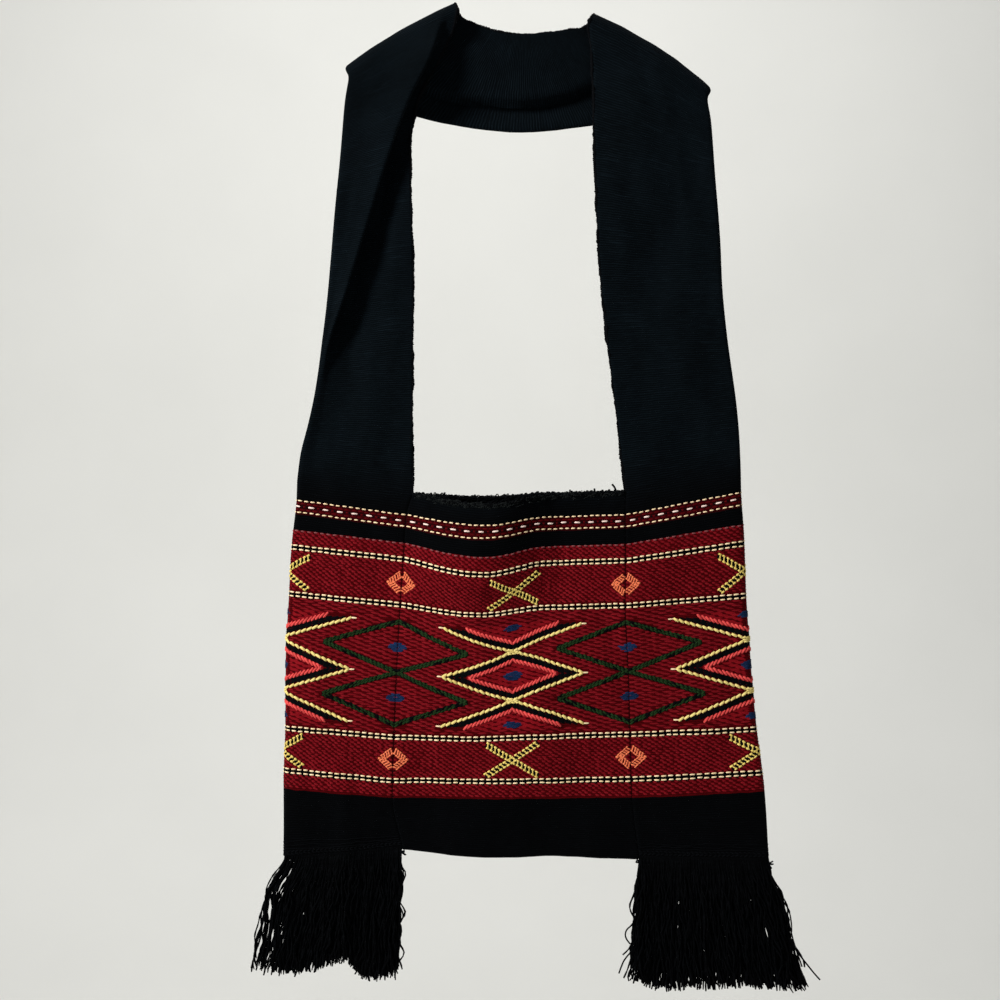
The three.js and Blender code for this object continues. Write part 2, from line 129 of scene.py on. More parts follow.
RIGHT_STRAP = table(
    "inner_x inner_z outer_x outer_z dent_at dent bow fold_at fold",
    """
    81.6 -332 176.4 -320 0.5 0 0 0.74 0
    77.6 -297.6 173.6 -288 0.5 0 0 0.74 0
    72.8 -260 169.2 -256 0.6 1 0 0.74 0
    68.4 -224 164.8 -222.4 0.7 1 0 0.74 1
    64.8 -190.4 162 -192 0.75 0 0 0.74 2
    62.4 -156 161.2 -164 0.75 -1 0 0.73 3.5
    60.8 -120 159.2 -136 0.72 -2 0 0.72 5
    60 -85.6 156.8 -108 0.68 -3 0 0.7 6
    59.2 -52 155.2 -84 0.62 -4 0 0.67 6
    58.4 -17.6 153.6 -62.4 0.5 -4 2 0.58 5
    54.1 15.9 149.7 -45.2 0.4 -2 5 0.45 2
    """,
    turn=0,
    crease=0.93,
    overlap=0,
)
NECK = table(
    "inner_x inner_z outer_x outer_z crease dent_at dent bow fold_at fold",
    """
    -47.8 23.9 -136.6 -27.3 0.12 0.7 0 3 0.75 0
    -33.6 18.4 -102.4 -50.4 0.4 0.7 4 0 0.74 7
    -17.6 12.8 -56 -61.6 0.5 0.7 7 0 0.71 11
    1.6 10.4 1.6 -68.8 0.6 0.68 8 0 0.69 12
    24 12 57.6 -62.4 0.7 0.66 6 0 0.64 9
    40 14.4 104 -56.8 0.8 0.66 3 0 0.53 5
    54.1 15.9 149.7 -45.2 0.93 0.6 0 5 0.5 0
    """,
    turn=180,
    overlap=0,
)

# The fringes' tips, a row for each place from the outer to the inner end
TIPS = table(
    "left_x left_z right_x right_z",
    """
    -213 -742 228 -760
    -190 -746 198 -758
    -166 -743 169 -756
    -140 -736 142 -758
    -120 -752 114 -758
    -101 -750 89 -750
    """,
)
LAST_TIP = 4.999  # just before the last row


def at(rows, places):
    """The table's columns at places between its rows, smooth and never past the rows' own values."""
    last = len(next(iter(rows.values()))) - 1
    start = np.minimum(places.astype(int), last - 1)
    u = places - start
    found = {}
    for name, value in rows.items():
        rise = np.diff(value)
        slope = np.zeros(len(value))
        before, after = rise[:-1], rise[1:]
        same = before * after > 0
        slope[1:-1][same] = 2 * before[same] * after[same] / (before + after)[same]
        slope[0], slope[-1] = rise[0], rise[-1]
        a, b, r = slope[start], slope[start + 1], rise[start]
        found[name] = value[start] + u * (a + u * (3 * r - 2 * a - b + u * (a + b - 2 * r)))
    return found


def cut(rows, wanted):
    """The same columns with only the wanted rows."""
    return {name: value[wanted] for name, value in rows.items()}


def flipped(rows):
    return cut(rows, slice(None, None, -1))


def joined(parts):
    return {name: np.concatenate([part[name] for part in parts]) for name in parts[0]}


def steps(rows, per_row):
    count = len(next(iter(rows.values()))) - 1
    return at(rows, np.linspace(0, count, count * per_row + 1))


BAG_ROWS = steps(BAG, GUSSET_STEPS)


def smooth(edge0, edge1, x):
    t = np.clip((x - edge0) / (edge1 - edge0), 0, 1)
    return t * t * (3 - 2 * t)


def bell(x):
    return np.exp(-(x**2))


def unit(vectors):
    return vectors / np.maximum(np.linalg.norm(vectors, axis=-1, keepdims=True), 1e-9)


def run_along(line):
    """The distance along a line from its start to each of its points."""
    return np.concatenate([[0], np.cumsum(np.linalg.norm(np.diff(line, axis=0), axis=1))])


def between(places, known, points):
    """Points at places between the known places of a line's points."""
    return np.stack([np.interp(places, known, points[:, k]) for k in range(3)], axis=1)


# Soft waves in the hanging cloth
WAVES = np.random.default_rng(11)
WAVE_SIZES = [(150, 1.1), (97, 0.9), (61, 0.5), (43, 0.35), (29, 0.22), (19, 0.14), (13, 0.09)]
WAVE_TABLE = [
    (length, height, WAVES.uniform(-0.6, 0.6), WAVES.uniform(0, FULL_TURN))
    for length, height in WAVE_SIZES
    for _ in range(2)
]
WAVE_SHARE = 0.8
# Folds: x, half width, height, and the heights z between which they come in
FOLDS = [
    (-141.0, 8.0, 2.6, -535.0, -590.0),
    (-30.0, 9.0, 1.0, -600.0, -650.0),
    (60.0, 12.0, 1.2, -600.0, -650.0),
]


def ripple(x, z):
    """How far the cloth stands forward at a place in the front view."""
    total = np.zeros_like(x)
    for length, height, lean, phase in WAVE_TABLE:
        along = x * math.cos(lean) + z * math.sin(lean)
        total = total + height * np.sin(2 * np.pi * along / length + phase)
    for centre, half, height, begin, full in FOLDS:
        total = total + height * bell((x - centre) / half) * smooth(begin, full, z)
    return WAVE_SHARE * total


def slack(share, reach, power):
    """How the mouth's looseness rises from the left seam to its peak, and falls within reach after it."""
    rise = np.sin(np.pi / 2 * np.minimum(share / GAPE_PEAK, 1)) ** 1.2
    fall = np.clip(np.cos(np.pi / 2 * np.clip((share - GAPE_PEAK) / reach, 0, 1)), 0, 1) ** power
    return np.where(share < GAPE_PEAK, rise, fall)


def panel_face(rows, side):
    """One face of the panel: -1 its front, 1 its back."""
    share = np.linspace(0, 1, PANEL_COLUMNS + 1)[None, :]
    row = {name: value[:, None] for name, value in rows.items()}
    size = 1 if side < 0 else BACK_SHARE
    loose = size * slack(share, GAPE_FALL, 1.5)
    sunk = size * (0.7 * slack(share, DROOP_FALL, 2.0) + 0.3 * slack(share, 1 - GAPE_PEAK, 1.2))
    reach = row["depth"] + row["bulge"] * np.sin(np.pi * share) + row["gape"] * loose
    left, right = row["left_seam_x"] + SEAM_GAP / 2, row["right_seam_x"] - SEAM_GAP / 2
    x = left + (right - left) * share
    z = row["left_seam_z"] + (row["right_seam_z"] - row["left_seam_z"]) * share - row["droop"] * sunk
    y = side * reach - BEARING_RADIUS - ripple(x, z)
    return np.stack([x, y, z], axis=2)


def panel_surface():
    """The panel's middle surface from the front lip round the bottom to the back lip, its cloth lengths
    and the number of rows in its front."""
    up, down = BAG_ROWS, flipped(BAG_ROWS)
    front, back = panel_face(down, -1), panel_face(up, 1)
    turns = np.pi * np.arange(1, FOLD_STEPS) / FOLD_STEPS
    part = (np.arange(1, FOLD_STEPS) / FOLD_STEPS)[:, None, None]
    middle = front[-1][None] * (1 - part) + back[0][None] * part
    centre = (front[-1][:, 1] + back[0][:, 1]) / 2
    middle[:, :, 1] = centre[None] - BOTTOM_FOLD_RADIUS * np.cos(turns)[:, None]
    middle[:, :, 2] -= BOTTOM_FOLD_RADIUS * np.sin(turns)[:, None]
    grid = np.concatenate([front, middle, back])
    fold = BAG["cloth"][0] + BOTTOM_FOLD_RADIUS * np.minimum(turns, np.pi - turns)
    cloth = np.concatenate([down["cloth"], fold, up["cloth"]])
    return grid, cloth, len(front)


# Places in the row of points that band_controls gives for each section
VALLEY, PLEAT_EDGE, CORNER, BACK_CORNER = 4, 8, 11, 13
EASE_ROUNDS = 6  # how often the strap is smoothed along its length
HANG_TOP, HANG_RUN = 60.0, 120.0  # the height from which the ripples come in, and the drop they need


def band_controls(rows):
    """The points that steer each section of the band, the direction in which its front layer faces, and
    the points' shares of the folded width."""
    inner = np.stack([rows["inner_x"], 0 * rows["turn"], rows["inner_z"]], axis=1)
    outer = np.stack([rows["outer_x"], 0 * rows["turn"], rows["outer_z"]], axis=1)
    across = outer - inner
    width = np.linalg.norm(across, axis=1)
    slope, level = np.sign(across[:, 0]) * np.abs(across[:, 2]), np.abs(across[:, 0])
    above = np.stack([slope, 0 * width, level], axis=1)
    above /= width[:, None]
    turn = np.radians(rows["turn"])
    facing = above * np.sin(turn)[:, None] + np.array([0, -1, 0]) * np.cos(turn)[:, None]
    pleated = np.minimum(1, rows["overlap"] / FULL_PLEAT)

    def layer(count):
        def height(share):
            hollow = STRAP_HALF_GAP + (rows["depth"] - STRAP_HALF_GAP) * np.sqrt(1 - share * share)
            return hollow * (1 - pleated) + count * PLEAT_STEP * pleated

        return height

    over, between_layers, under = layer(1.5), layer(0.5), layer(-0.5)
    lap = rows["overlap"] / 2 / width
    spread = PLEAT_SPREAD * (1 - pleated)
    valley = rows["crease"] + lap - 2 * spread
    fold = rows["crease"] - lap + 2 * spread
    corner = 1 - STRAP_HALF_GAP / width
    points = [(valley * part, under(valley * part)) for part in (0, 0.25, 0.5, 0.75, 1)]
    lift = PLEAT_LIFT * pleated
    for share, part in ((valley + spread, 0.0), (rows["crease"], 0.3), (fold - spread, 0.8)):
        points.append((share, between_layers(share) + part * lift))
    for place, part in ((0, 1.0), (0.35, 0.35), (0.7, 0.0)):
        share = fold + (corner - fold) * place
        points.append((share, over(share) + part * lift))
    points += [(corner, 0.85 * over(corner)), (1 + 0 * corner, 0 * corner), (corner, -0.85 * over(corner))]
    points += [(corner * part, -over(corner * part)) for part in (0.75, 0.5, 0.25, 0)]
    share, height = (np.stack(values, axis=1) for values in zip(*points))
    height += rows["dent"][:, None] * bell((share - rows["dent_at"][:, None]) / DENT_REACH)
    below = np.r_[np.ones(5), 0.5, np.zeros(6), 0.5, np.ones(5)]
    height -= below * PLEAT_SINK * pleated[:, None] * bell((share - fold[:, None]) / SINK_REACH)
    arch = 4 * rows["bow"][:, None] * share * (1 - share)
    grid = inner[:, None] + across[:, None] * share[..., None] + above[:, None] * arch[..., None]
    return grid + facing[:, None] * (BEARING_RADIUS + height)[..., None], facing, share


def fold_profile(distance, turn):
    """A crease across the band: a ridge on the straps, and a ledge over a hollow on the neck."""
    past = np.maximum(distance, 0)
    before = np.exp(np.minimum(distance, 0) / BEFORE_CREASE)
    ridge = np.exp(-past / PAST_RIDGE)
    ledge = 1.4 * (1 - smooth(0.0, LEDGE_EDGE, distance)) - 0.4 * np.exp(-past / PAST_LEDGE)
    ledged = smooth(90.0, 180.0, turn)
    return np.where(distance < 0, before, ridge * (1 - ledged) + ledge * ledged) * (1 - 2 * ledged)


def resampled(line, places):
    """Points along a polyline, with its corners rounded off."""
    length = run_along(line)
    even = np.linspace(0, length[-1], SECTION_POINTS)
    points = between(even, length, line)
    reach, width = 7, 3.0
    kernel = bell(np.arange(-reach, reach + 1) / width)
    kernel /= kernel.sum()
    early = 2 * points[:1] - points[reach:0:-1]
    late = 2 * points[-1:] - points[-2 : -reach - 2 : -1]
    padded = np.concatenate([early, points, late])
    rounded = np.stack([np.convolve(padded[:, k], kernel, "valid") for k in range(3)], axis=1)
    return between(places, even, rounded)


def side_rows(name, strap):
    """The band's rows from its lower end up the side of the bag and the strap."""
    outward = -1 if name == "left" else 1
    depth = BAG_ROWS["depth"]
    gusset = {key: np.full(len(depth), value[0]) for key, value in strap.items()}
    gusset["inner_x"] = BAG_ROWS[f"{name}_seam_x"] + outward * SEAM_GAP / 2
    gusset["inner_z"] = BAG_ROWS[f"{name}_seam_z"]
    for key in ("outer_x", "outer_z"):
        gusset[key] = BAG_ROWS[f"{name}_{key}"]
    gusset |= {"dent": 0 * depth, "depth": depth}
    plain = {**strap, "depth": np.full(len(strap["turn"]), STRAP_HALF_GAP)}
    upper = steps(joined([cut(gusset, slice(-1, None)), plain]), STRAP_STEPS)
    return joined([gusset, cut(upper, slice(1, None))])


def turn_rows(front, back):
    """The band's rows over a bearing line, between the end of its front and the start of its back."""
    ends = joined([cut(front, slice(-1, None)), cut(back, slice(0, 1))])
    return at(ends, np.arange(1, BEARING_STEPS) / BEARING_STEPS)


def section_places(length):
    """Where a section is sampled along its length: closer over the pleat and the outer fold."""
    after = min(length[PLEAT_EDGE] + 4, length[CORNER] - 1.5)
    breaks = [0, min(length[VALLEY] - 4, after - 5), after]
    breaks += [length[CORNER] - 1, length[BACK_CORNER] + 1, length[-1]]
    spans = [np.linspace(a, b, n, endpoint=False) for a, b, n in zip(breaks, breaks[1:], BAND_SPANS)]
    return np.concatenate([*spans, [length[-1]]])


def band_surface():
    """The band's middle surface from its left lower end over the neck to its right lower end, the places
    across and down the cloth, and the number of rows in each side."""
    left, right = side_rows("left", LEFT_STRAP), side_rows("right", RIGHT_STRAP)
    neck = steps({**NECK, "depth": np.full(len(NECK["turn"]), STRAP_HALF_GAP)}, STRAP_STEPS)
    right_turn = flipped(turn_rows(right, flipped(neck)))
    rows = joined([left, turn_rows(left, neck), neck, right_turn, flipped(right)])
    controls, facing, shares = band_controls(rows)

    grid, across = [], []
    for i, line in enumerate(controls):
        length = run_along(line)
        places = section_places(length)
        share = np.interp(places, length, shares[i])
        fold = rows["fold"][i] * fold_profile(share - rows["fold_at"][i], rows["turn"][i])
        grid.append(resampled(line, places) + fold[:, None] * facing[i])
        across.append((places / length[-1] - 0.5) * STRIP)
    grid, across = np.array(grid), np.array(across)
    gusset = len(BAG_ROWS["cloth"])
    strap = slice(gusset + 2, len(grid) - gusset - 2)
    for _ in range(EASE_ROUNDS):
        eased = grid.copy()
        eased[1:-1] = 0.25 * grid[:-2] + 0.5 * grid[1:-1] + 0.25 * grid[2:]
        grid[strap] = eased[strap]
    hang = 0.5 - 0.5 * np.cos(np.pi * np.clip((HANG_TOP - grid[..., 2]) / HANG_RUN, 0, 1))
    grid[..., 1] -= hang * ripple(grid[..., 0], grid[..., 2])

    run = run_along(grid[:, grid.shape[1] // 4])
    rise, fall = run - run[gusset - 1], run[-gusset] - run
    top = np.argmin(np.abs(rise - fall))
    cloth = -np.where(np.arange(len(run)) <= top, rise, fall * rise[top] / fall[top])
    cloth[:gusset] = BAG_ROWS["cloth"]
    cloth[-gusset:] = cloth[:gusset][::-1]
    return grid, across, cloth, gusset


def linked(name, data):
    """An object in the scene with this data."""
    item = bpy.data.objects.new(name, data)
    SCENE.collection.objects.link(item)
    return item


def mesh_piece(name, points, quads, material, slot, uv=None):
    """A smooth-shaded piece from points in millimetres."""
    mesh = bpy.data.meshes.new(name)
    mesh.from_pydata(points * MM, [], quads, shade_flat=False)
    if uv is not None:
        layer = mesh.uv_layers.new(name="cloth")
        layer.data.foreach_set("uv", uv[quads.ravel()].astype(np.float32).ravel())
    mesh.validate()
    mesh.materials.append(material)
    piece = linked(name, mesh)
    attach(piece, "root")
    return piece


UV_UNIT = 100.0  # millimetres of cloth to a unit of UV


def grid_quads(index):
    """The faces of a grid of points, by their numbers."""
    corners = [index[:-1, :-1], index[1:, :-1], index[1:, 1:], index[:-1, 1:]]
    return np.stack(corners, axis=-1).reshape(-1, 4)


def wall(name, grid, across, cloth, slot):
    """A closed cloth wall on both sides of a grid, with its place on the flat strip as UV, and the values
    of its outer face for Strip."""
    rows, count = grid.shape[:2]
    normal = unit(np.cross(np.gradient(grid, axis=0), np.gradient(grid, axis=1)))
    points = np.concatenate([(grid + side * normal * CLOTH / 2).reshape(-1, 3) for side in (1, -1)])
    flat = np.stack([across, np.broadcast_to(cloth[:, None], (rows, count))], axis=2)
    uv = np.tile(flat.reshape(-1, 2) / UV_UNIT, (2, 1))
    index = np.arange(rows * count).reshape(rows, count)
    under = rows * count
    faces = grid_quads(index)
    quads = [faces, faces[:, ::-1] + under]
    for e in (index[0], index[-1][::-1], index[::-1, 0], index[:, -1]):
        quads.append(np.stack([e[:-1], e[1:], e[1:] + under, e[:-1] + under], axis=1))
    piece = mesh_piece(name, points, np.concatenate(quads), CLOTH_LOOK, slot, uv)
    return piece, (grid + normal * CLOTH / 2, normal, across, cloth)


class Strip:
    """A woven strip's face, looked up by the distance across it and the distance down from the mouth.
    Its middle is shifted across where the strip is folded beside its middle line."""

    def __init__(self, face, normal, across, cloth, rows, shift=0.0):
        order = np.argsort(cloth[rows])
        self.shift = shift
        self.across = np.linspace(-EDGE, EDGE, LOOKUP_COLUMNS)
        self.cloth = cloth[rows][order]

        def even(data):
            lines = zip(across[rows], data[rows])
            return np.array([between(self.across, u, line) for u, line in lines])[order]

        self.face, self.normal = even(face), even(normal)

    def place(self, u, v, data=None):
        data = self.face if data is None else data
        u = u + self.shift * np.clip(1 - (2 * u / STRIP) ** 2, 0, 1)
        i = np.clip((u - self.across[0]) / (self.across[1] - self.across[0]), 0, len(self.across) - 1.001)
        j = np.clip(np.interp(v, self.cloth, np.arange(len(self.cloth))), 0, len(self.cloth) - 1.001)
        i0, j0 = i.astype(int), j.astype(int)
        s, t = (i - i0)[:, None], (j - j0)[:, None]
        low = data[j0, i0] * (1 - s) + data[j0, i0 + 1] * s
        high = data[j0 + 1, i0] * (1 - s) + data[j0 + 1, i0 + 1] * s
        return low * (1 - t) + high * t

    def frame(self, u, v):
        """The point, the directions across and down the cloth, and the outward normal."""
        across = unit(self.place(u + 0.8, v) - self.place(u - 0.8, v))
        down = unit(self.place(u, v + 0.8) - self.place(u, v - 0.8))
        return self.place(u, v), across, down, unit(self.place(u, v, self.normal))


# A float of yarn: its lengthwise places, the width and the height that it has there, and the angles of the
# points round it, in degrees
FLOAT = ([-1, -0.72, 0, 0.72, 1], [0.4, 0.9, 1, 0.9, 0.4], [-0.25, 0.7, 1, 0.7, -0.25], [0, 60, 120, 180])
SHORT_FLOAT = ([-1, -0.45, 0.45, 1], [0.3, 1, 1, 0.3], [-0.3, 1, 1, -0.3], [0, 90, 180])


def merged(parts):
    """Several sets of points and faces as one."""
    points, quads, offset = [], [], 0
    for p, q in parts:
        points.append(p)
        quads.append(q + offset)
        offset += len(p)
    return np.concatenate(points), np.concatenate(quads)


def float_mesh(floats, strips, shape=FLOAT, lift=0.0, one_hand=False):
    """The points and faces of yarn floats (u, v, length, width, height, slant) on each strip. With one_hand
    they slant the same way on every strip as it is seen from outside."""
    u, v, length, width, height, slant = np.array(floats, float).T
    along, wide, high, angles = (np.array(part, float) for part in shape)
    angles = np.radians(angles)
    rows, ring = len(along), len(angles)
    one = grid_quads(np.arange(rows * ring).reshape(rows, ring))
    quads = (one[None] + (np.arange(len(u)) * rows * ring)[:, None, None]).reshape(-1, 4)
    run = length[:, None] / 2 * along
    turned = (width[:, None] / 2 * wide)[:, :, None] * np.cos(angles)
    raised = (height[:, None] * high)[:, :, None] * np.sin(angles) + lift
    parts = []
    for strip in strips:
        angle = np.radians(slant)
        if one_hand:
            _, across, down, normal = strip.frame(u, v)
            angle = angle * -np.sign(np.sum(np.cross(across, down) * normal, axis=1))
        along_u = (u[:, None] + run * np.cos(angle)[:, None]).ravel()
        along_v = (v[:, None] + run * np.sin(angle)[:, None]).ravel()
        centre = strip.place(along_u, along_v).reshape(len(u), rows, 3)
        normal = unit(strip.place(along_u, along_v, strip.normal)).reshape(len(u), rows, 3)
        side = np.cross(normal, unit(np.gradient(centre, axis=1)))
        block = centre[:, :, None] + turned[..., None] * side[:, :, None]
        block = block + raised[..., None] * normal[:, :, None]
        parts.append((block.reshape(-1, 3), quads))
    return merged(parts)


def tubes(paths, radii, sides, spin=0.0):
    """Tubes along paths, each a row of points with a radius at each point."""
    count, length = paths.shape[:2]
    tangent = unit(np.gradient(paths, axis=1))
    aside = unit(np.cross(tangent, np.array([0.13, 0.97, 0.2])))
    other = np.cross(tangent, aside)
    angle = 2 * np.pi * np.arange(sides) / sides + spin * np.arange(length)[:, None]
    cosine, sine = np.cos(angle)[None, :, :, None], np.sin(angle)[None, :, :, None]
    ring = cosine * aside[:, :, None] + sine * other[:, :, None]
    points = paths[:, :, None] + ring * radii[:, :, None, None]
    index = np.arange(count * length * sides).reshape(count, length, sides)
    after = np.roll(index, -1, axis=2)
    quads = np.stack([index[:, :-1], after[:, :-1], after[:, 1:], index[:, 1:]], axis=-1)
    return points.reshape(-1, 3), quads.reshape(-1, 4)


class Nodes:
    """A material's nodes, made and linked in short lines."""

    def __init__(self, name):
        self.material = bpy.data.materials.new(name)
        self.material.use_nodes = True
        self.tree = self.material.node_tree
        self.tree.nodes.clear()

    def add(self, kind, inputs=None, **settings):
        node = self.tree.nodes.new("ShaderNode" + kind)
        for key, value in settings.items():
            setattr(node, key, value)
        for key, value in (inputs or {}).items():
            if isinstance(value, bpy.types.NodeSocket):
                self.tree.links.new(value, node.inputs[key])
            else:
                node.inputs[key].default_value = value
        return node

    def math(self, operation, *values):
        return self.add("Math", dict(enumerate(values)), operation=operation).outputs[0]

    def times(self, value, factor, *plus):
        return self.math("MULTIPLY_ADD" if plus else "MULTIPLY", value, factor, *plus)

    def plus(self, one, other):
        return self.math("ADD", one, other)

    def mix(self, share, one, other):
        return self.add("Mix", {0: share, 6: one, 7: other}, data_type="RGBA").outputs[2]

    def ramp(self, value, stops, interpolation="LINEAR"):
        node = self.add("ValToRGB", {0: value})
        node.color_ramp.interpolation = interpolation
        while len(node.color_ramp.elements) < len(stops):
            node.color_ramp.elements.new(0.5)
        for element, (position, colour) in zip(node.color_ramp.elements, stops):
            element.position = position
            element.color = (*colour, 1)
        return node.outputs[0]

    def noise(self, vector, scale, detail=2.0, rough=0.5):
        inputs = {"Vector": vector, "Scale": scale, "Detail": detail, "Roughness": rough}
        return self.add("TexNoise", inputs).outputs[0]

    def finish(self, colour, height, distance, roughness, sheen, sheen_tint, specular):
        bump = self.add("Bump", {"Strength": 1.0, "Distance": distance, "Height": height})
        inputs = {"Base Color": colour, "Normal": bump.outputs[0], "Roughness": roughness}
        inputs |= {"Sheen Weight": sheen, "Sheen Roughness": 0.45, "Sheen Tint": (*sheen_tint, 1)}
        shader = self.add("BsdfPrincipled", {**inputs, "Specular IOR Level": specular})
        self.add("OutputMaterial", {"Surface": shader.outputs[0]})
        return self.material


BAG_BLACK = [(0.15, (0.0003, 0.0004, 0.0006)), (0.85, (0.0019, 0.0023, 0.0031))]
STRAP_BLACK = [(0.15, (0.0006, 0.0012, 0.0017)), (0.85, (0.0050, 0.0094, 0.0134))]
GROUND_RED = [(0.28, (0.032, 0.0003, 0.0009)), (0.9, (0.088, 0.0010, 0.0030))]
SLUB_GREY = [(0.62, (0, 0, 0)), (0.74, (0.3, 0.3, 0.3))]
LINT = (0.32, 0.31, 0.30, 1)
RIB_PITCH, THREAD_PITCH = 1.65, 0.85  # in millimetres
STRAP_FROM, BAG_FROM = -25.0, 10.0  # the black changes between these distances down from the mouth

# The ground's bands down from the mouth: where each begins, and how red it is
BANDS = [(0.0, 0), (13.0, 0.45), (24.3, 0), (36.0, 1), (47.7, 0), (51.3, 1), (83.8, 0), (87.4, 1)]
BANDS += [(189.2, 0), (192.8, 1), (223.8, 0), (227.4, 1), (239.5, 0)]
RAMP_LENGTH = 300.0


def cloth_material():
    """Ribbed black cloth with a red brocaded ground, by the place on the flat strip."""
    n = Nodes("figured_cloth")
    uv = n.add("UVMap", uv_map="cloth").outputs[0]
    split = n.add("SeparateXYZ", {0: uv})
    wobble = n.math("SUBTRACT", n.noise(uv, 9.0, 3.0), 0.5)
    across = n.times(split.outputs[0], UV_UNIT)
    down = n.plus(n.times(split.outputs[1], UV_UNIT), n.times(wobble, 1.8))

    ribs = n.times(n.math("SINE", n.times(down, 2 * math.pi / RIB_PITCH)), 0.5, 0.5)
    places = {0: n.times(across, 0.1), 1: n.times(down, 0.7)}
    broken = n.noise(n.add("CombineXYZ", places).outputs[0], 1.0, 3.0, 0.6)
    ribs = n.times(ribs, n.times(broken, 3.2, -0.7))
    threads = n.math("SINE", n.times(across, 2 * math.pi / THREAD_PITCH))
    fuzz = n.noise(uv, 260.0, 3.0, 0.6)
    patch = n.noise(uv, 2.2, 3.0, 0.55)
    stops = [(place / RAMP_LENGTH, (red, red, red)) for place, red in BANDS]
    red = n.ramp(n.math("DIVIDE", down, RAMP_LENGTH), stops, "CONSTANT")

    shade = n.times(patch, 0.5, n.times(n.times(ribs, fuzz), 0.9))
    ground = n.ramp(shade, GROUND_RED)
    weft = n.times(threads, 0.10, n.times(ribs, 0.55))
    long_threads = n.add("CombineXYZ", {0: n.times(across, 0.04), 1: down})
    slubs = n.ramp(n.noise(long_threads.outputs[0], 0.8, 2.0), SLUB_GREY)
    black_shade = n.plus(n.plus(n.times(weft, fuzz), n.times(patch, 0.35)), slubs)
    # Blend from the bag's darker black to the straps' lighter, bluer black, by the distance down from the
    # mouth
    change = {0: down, 1: BAG_FROM, 2: STRAP_FROM, 3: 0.0, 4: 1.0}
    strap_blend = n.add("MapRange", change).outputs[0]
    black = n.mix(strap_blend, n.ramp(black_shade, BAG_BLACK), n.ramp(black_shade, STRAP_BLACK))
    lint_cells = n.add("TexVoronoi", {"Vector": uv, "Scale": 1.7, "Randomness": 1.0})
    lint = n.math("LESS_THAN", lint_cells.outputs["Distance"], 0.0075)
    colour = n.mix(lint, n.mix(red, black, ground), LINT)
    height = n.plus(weft, n.times(fuzz, 0.35))
    rough = n.times(fuzz, 0.2, 0.76)
    return n.finish(colour, height, 0.0008, rough, 0.006, (0.5, 0.62, 0.75), 0.018)


def yarn_material(name, dark, light, sheen=0.2, specular=0.3, twist=620.0):
    """Spun yarn: fine twisted fibres, with a little difference from float to float."""
    n = Nodes(name)
    place = n.add("TexCoord").outputs["Object"]
    inputs = {"Vector": place, "Scale": twist, "Distortion": 2.5, "Detail": 1.0}
    wave = n.add("TexWave", inputs, wave_type="BANDS", bands_direction="DIAGONAL")
    fibres = wave.outputs["Fac"]
    patch = n.noise(place, 190.0, 2.0)
    fuzz = n.noise(place, 1500.0, 2.0)
    shade = n.plus(n.times(fibres, 0.35), n.times(patch, 0.75, -0.05))
    colour = n.ramp(shade, [(0.12, dark), (0.72, light)])
    height = n.times(fibres, 0.6, n.times(fuzz, 0.5))
    rough = n.times(fuzz, 0.25, 0.6)
    return n.finish(colour, height, 0.00025, rough, sheen, light, specular)


CLOTH_LOOK = cloth_material()
# The yarns' dark and light colours, and the sheen and gloss of the dull ones
YARN_LOOKS = {
    "pale": ((0.54, 0.39, 0.17), (0.92, 0.72, 0.47)),
    "yellow": ((0.40, 0.30, 0.05), (0.84, 0.69, 0.26)),
    "gold": ((0.36, 0.27, 0.03), (0.82, 0.62, 0.17)),
    "cream": ((0.58, 0.40, 0.35), (0.88, 0.72, 0.64)),
    "orange": ((0.44, 0.066, 0.018), (0.80, 0.205, 0.085)),
    "coral": ((0.28, 0.007, 0.009), (0.72, 0.072, 0.064)),
    "green": ((0.0014, 0.0046, 0.0014), (0.0120, 0.0340, 0.0090), 0.02, 0.04),
    "blue": ((0.0012, 0.0036, 0.014), (0.0078, 0.0250, 0.078), 0.02, 0.04),
    "black": ((0.0005, 0.0006, 0.0008), (0.0022, 0.0026, 0.0034), 0.008, 0.02),
    "grey": ((0.0025, 0.0032, 0.0034), (0.017, 0.020, 0.020), 0.02, 0.03),
    "pink": ((0.10, 0.018, 0.022), (0.22, 0.070, 0.072), 0.05, 0.06),
    "scarlet": ((0.085, 0.0010, 0.0030), (0.205, 0.0050, 0.0090), 0.015, 0.03),
    "maroon": ((0.032, 0.0003, 0.0009), (0.080, 0.0022, 0.0040), 0.01, 0.02),
    "red": ((0.078, 0.0006, 0.0022), (0.178, 0.0060, 0.0105), 0.015, 0.03),
}
YARNS = {name: yarn_material(f"{name}_yarn", *look) for name, look in YARN_LOOKS.items()}
FRINGE_COLOURS = ((0.0002, 0.0003, 0.0004), (0.0016, 0.0019, 0.0025))
FRINGE_LOOK = yarn_material("fringe_yarn", *FRINGE_COLOURS, 0.006, 0.02, 900.0)

# The woven figures, by the distance u across the strip and v down from the mouth, in millimetres
TOP = 99.4  # the diamonds' first line
ARM = 11  # steps in an arm of a diamond
ARM_REACH, QUARTER = ARM * COLUMN, ARM * ROW  # how far an arm goes across and down
CENTRE, FOOT = TOP + 2 * QUARTER, TOP + 4 * QUARTER
SLOPE = QUARTER / ARM_REACH
LINE_TILT = math.degrees(math.atan(SLOPE))
BLACK_OFFSETS = (2.4, 3.8, 5.2)  # from the yellow line to the black ones beside it
CORAL_OFFSET = 7.6  # and to the coral one
CROSSINGS = (68.4, 208.6)  # the middles of the bands with crossings and rings
X_HALF_U, X_HALF_V = 20.9, 12.8  # half the width and height of a crossing
RING_HALF_U, RING_HALF_V = 9.0, 7.0  # and of a ring
DOUBLE_LINES = (49.5, 85.6, 191.0, 225.6)
DOUBLE_HALF = 1.5  # from a double line's middle to its rows
STRIPE = 18.65  # the middle of the dashed stripe
EDGE_MARGIN = 0.4  # floats with their middle nearer to the edge are left out
GROUND_END = 92.8  # the farthest place across for the middle of a ground float
